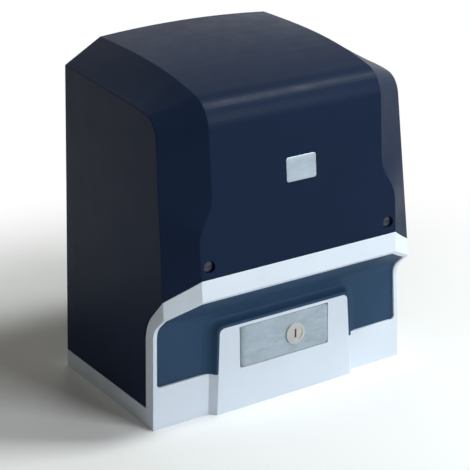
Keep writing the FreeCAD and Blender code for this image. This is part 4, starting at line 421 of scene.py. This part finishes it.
def clutch_coil():
    """The clutch spring, its loose triangles joined, as a piece of its own on the output body."""
    mesh, work = welded(NODES["clutch_spring"])
    work.to_mesh(mesh)
    work.free()
    coil = finished("clutch_coil", mesh, "output_body", SLOT_OF["clutch_spring"], crease=40)
    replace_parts(coil, "clutch_spring")
    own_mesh(coil)


def pin_tree(centre):
    """Rows of soldered pins on the four sides of a square chip that stands on the board at centre."""
    tree = bpy.data.node_groups.new("processor_pins", "GeometryNodeTree")
    tree.interface.new_socket("Geometry", in_out="OUTPUT", socket_type="NodeSocketGeometry")
    for name, kind in (("Pins", "Int"), ("Pitch", "Float"), ("Reach", "Float"), ("Pin Size", "Vector")):
        tree.interface.new_socket(name, in_out="INPUT", socket_type="NodeSocket" + kind)

    def node(kind, **settings):
        made = tree.nodes.new(kind)
        for key, value in settings.items():
            setattr(made, key, value)
        return made

    def feed(target, entry, source, output=0):
        tree.links.new(source.outputs[output], target.inputs[entry])

    sizes, result = node("NodeGroupInput"), node("NodeGroupOutput")
    gaps = node("ShaderNodeMath", operation="SUBTRACT")
    gaps.inputs[1].default_value = 1
    feed(gaps, 0, sizes, "Pins")
    length = node("ShaderNodeMath", operation="MULTIPLY")
    feed(length, 0, gaps)
    feed(length, 1, sizes, "Pitch")
    half = node("ShaderNodeMath", operation="MULTIPLY")
    half.inputs[1].default_value = -0.5
    feed(half, 0, length)
    start, step = node("ShaderNodeCombineXYZ"), node("ShaderNodeCombineXYZ")
    feed(start, "Y", half)
    feed(step, "Y", sizes, "Pitch")
    row = node("GeometryNodeMeshLine")
    feed(row, "Count", sizes, "Pins")
    feed(row, "Start Location", start)
    feed(row, "Offset", step)
    pin = node("GeometryNodeMeshCube")
    feed(pin, "Size", sizes, "Pin Size")
    pins = node("GeometryNodeInstanceOnPoints")
    feed(pins, "Points", row)
    feed(pins, "Instance", pin)
    sides = node("GeometryNodeMeshCircle")
    sides.inputs["Vertices"].default_value = 4
    feed(sides, "Radius", sizes, "Reach")
    quarter = node("ShaderNodeMath", operation="MULTIPLY")
    quarter.inputs[1].default_value = math.pi / 2
    feed(quarter, 0, node("GeometryNodeInputIndex"))
    angles, turned = node("ShaderNodeCombineXYZ"), node("FunctionNodeEulerToRotation")
    feed(angles, "Z", quarter)
    feed(turned, 0, angles)
    rows = node("GeometryNodeInstanceOnPoints")
    feed(rows, "Points", sides)
    feed(rows, "Instance", pins)
    feed(rows, "Rotation", turned)
    stood = node("GeometryNodeTransform")
    stood.inputs["Translation"].default_value = centre
    stood.inputs["Rotation"].default_value = (math.pi / 2, 0, 0)
    feed(stood, "Geometry", rows)
    whole, dressed = node("GeometryNodeRealizeInstances"), node("GeometryNodeSetMaterial")
    dressed.inputs["Material"].default_value = FINISHES["zinc_steel"]
    feed(whole, 0, stood)
    feed(dressed, "Geometry", whole)
    feed(result, 0, dressed)
    return tree


def processor_pins():
    """The processor's pins, made by the node tree and kept as a plain mesh."""
    tree = pin_tree((-0.0595, -0.08485, 0.222))
    grown = bpy.data.objects.new("pins_grown", bpy.data.meshes.new("pins_grown"))
    bpy.context.scene.collection.objects.link(grown)
    growth = grown.modifiers.new("pins", "NODES")
    growth.node_group = tree
    values = {"Pins": 12, "Pitch": 0.001, "Reach": 0.0075, "Pin Size": (0.0014, 0.00045, 0.0005)}
    for socket in tree.interface.items_tree:
        if socket.in_out == "INPUT":
            growth[socket.identifier] = values[socket.name]
    view = bpy.context.evaluated_depsgraph_get()
    mesh = bpy.data.meshes.new_from_object(grown.evaluated_get(view))
    grown.modifiers.remove(growth)
    bpy.data.objects.remove(grown)
    finished("processor_pins", mesh, "base_body", "zinc_steel")


crowned_cover()
clutch_coil()
processor_pins()
block_sleeve()
window_corners()
panel_plate()

# ---------------------------------------------------------------- studio


def aim(target, place, roll=0.0):
    """Turns an object at place so that its -Z looks at target."""
    forward = (Vector(target) - Vector(place)).normalized()
    right = forward.cross(Vector((0, 0, 1))).normalized()
    up = right.cross(forward)
    tilted = right * math.cos(roll) + up * math.sin(roll)
    upright = forward.cross(tilted) * -1
    return Matrix((tilted, upright, -forward)).transposed().to_4x4()


def place_camera():
    """The camera: where it stands, how it is turned, and its lens."""
    stand = Vector((-0.7636, -1.1973, 0.6700))
    azimuth, drop, roll = math.radians(32.71), math.radians(20.42), math.radians(-1.06)
    ahead = math.cos(drop)
    forward = Vector((math.sin(azimuth) * ahead, math.cos(azimuth) * ahead, -math.sin(drop)))
    level = Vector((math.cos(azimuth), -math.sin(azimuth), 0))
    upward = level.cross(forward)
    right = level * math.cos(roll) + upward * math.sin(roll)
    up = right.cross(forward)
    data = bpy.data.cameras.new("camera")
    data.lens = 113.0
    data.sensor_width = 36.0
    camera = bpy.data.objects.new("camera", data)
    camera.matrix_world = Matrix.Translation(stand) @ Matrix((right, up, -forward)).transposed().to_4x4()
    bpy.context.scene.collection.objects.link(camera)
    bpy.context.scene.camera = camera


def softbox(name, place, size, power, target=(0, 0, 0.16), color=(1, 1, 1)):
    data = bpy.data.lights.new(name, "AREA")
    data.shape = "RECTANGLE"
    data.size, data.size_y = size
    data.energy = power
    data.color = color
    lamp = bpy.data.objects.new(name, data)
    lamp.matrix_world = Matrix.Translation(place) @ aim(target, place)
    bpy.context.scene.collection.objects.link(lamp)


def seen_directly(tree):
    """One for rays from the camera and for rays that mirrors and glass pass on, otherwise zero."""
    path = tree.nodes.new("ShaderNodeLightPath")
    total = path.outputs["Is Camera Ray"]
    for kind in ("Is Glossy Ray", "Is Transmission Ray"):
        either = tree.nodes.new("ShaderNodeMath")
        either.operation = "MAXIMUM"
        tree.links.new(total, either.inputs[0])
        tree.links.new(path.outputs[kind], either.inputs[1])
        total = either.outputs[0]
    return total


def backdrop():
    """A pale floor that takes the motor's soft shadow and turns pure white further out."""
    mesh = bpy.data.meshes.new("floor")
    reach = 6.0
    mesh.from_pydata([(-reach, -reach, 0), (reach, -reach, 0), (reach, reach, 0), (-reach, reach, 0)],
                     [], [(0, 1, 2, 3)])
    floor = bpy.data.objects.new("floor", mesh)
    bpy.context.scene.collection.objects.link(floor)
    finish = Finish("studio_floor", Roughness=1.0)
    finish.shader.inputs["Base Color"].default_value = (0.9, 0.9, 0.9, 1)
    finish.shader.inputs["Specular IOR Level"].default_value = 0.0
    distance = finish.node("VectorMath", operation="LENGTH")
    finish.link(finish.place, "Object", distance, "Vector")
    away = finish.node("MapRange", interpolation_type="SMOOTHSTEP")
    away.inputs["From Min"].default_value = 0.28
    away.inputs["From Max"].default_value = 0.62
    finish.link(distance, "Value", away, "Value")
    share = finish.node("Math", operation="MULTIPLY")
    finish.link(away, "Result", share, 0)
    finish.tree.links.new(seen_directly(finish.tree), share.inputs[1])
    white = finish.node("Emission", Strength=1.0)
    mix = finish.node("MixShader")
    finish.link(share, "Value", mix, "Fac")
    finish.link(finish.shader, "BSDF", mix, 1)
    finish.link(white, "Emission", mix, 2)
    finish.link(mix, "Shader", finish.output, "Surface")
    mesh.materials.append(finish.material)


def studio_world():
    """White where it is seen, and a weak, slightly warm fill where it only lights."""
    world = bpy.data.worlds.new("studio")
    bpy.context.scene.world = world
    world.use_nodes = True
    tree = world.node_tree
    tree.nodes.clear()
    output = tree.nodes.new("ShaderNodeOutputWorld")
    seen = tree.nodes.new("ShaderNodeBackground")
    lit = tree.nodes.new("ShaderNodeBackground")
    mix = tree.nodes.new("ShaderNodeMixShader")
    seen.inputs["Color"].default_value = (1, 1, 1, 1)
    seen.inputs["Strength"].default_value = 1.0
    lit.inputs["Color"].default_value = (1.0, 0.97, 0.86, 1)
    lit.inputs["Strength"].default_value = 0.14
    tree.links.new(seen_directly(tree), mix.inputs["Fac"])
    tree.links.new(lit.outputs[0], mix.inputs[1])
    tree.links.new(seen.outputs[0], mix.inputs[2])
    tree.links.new(mix.outputs[0], output.inputs["Surface"])


place_camera()
backdrop()
studio_world()
softbox("key_light", (0.75, -1.75, 1.0), (0.9, 0.9), 28, color=(0.92, 0.96, 1.0))
softbox("roof_light", (0.8, -0.5, 1.6), (0.35, 0.35), 21, color=(0.95, 1.0, 0.98))
softbox("back_light", (0.9, 1.6, 0.2), (0.9, 0.25), 12)
scene = bpy.context.scene
scene.view_settings.view_transform = "Standard"
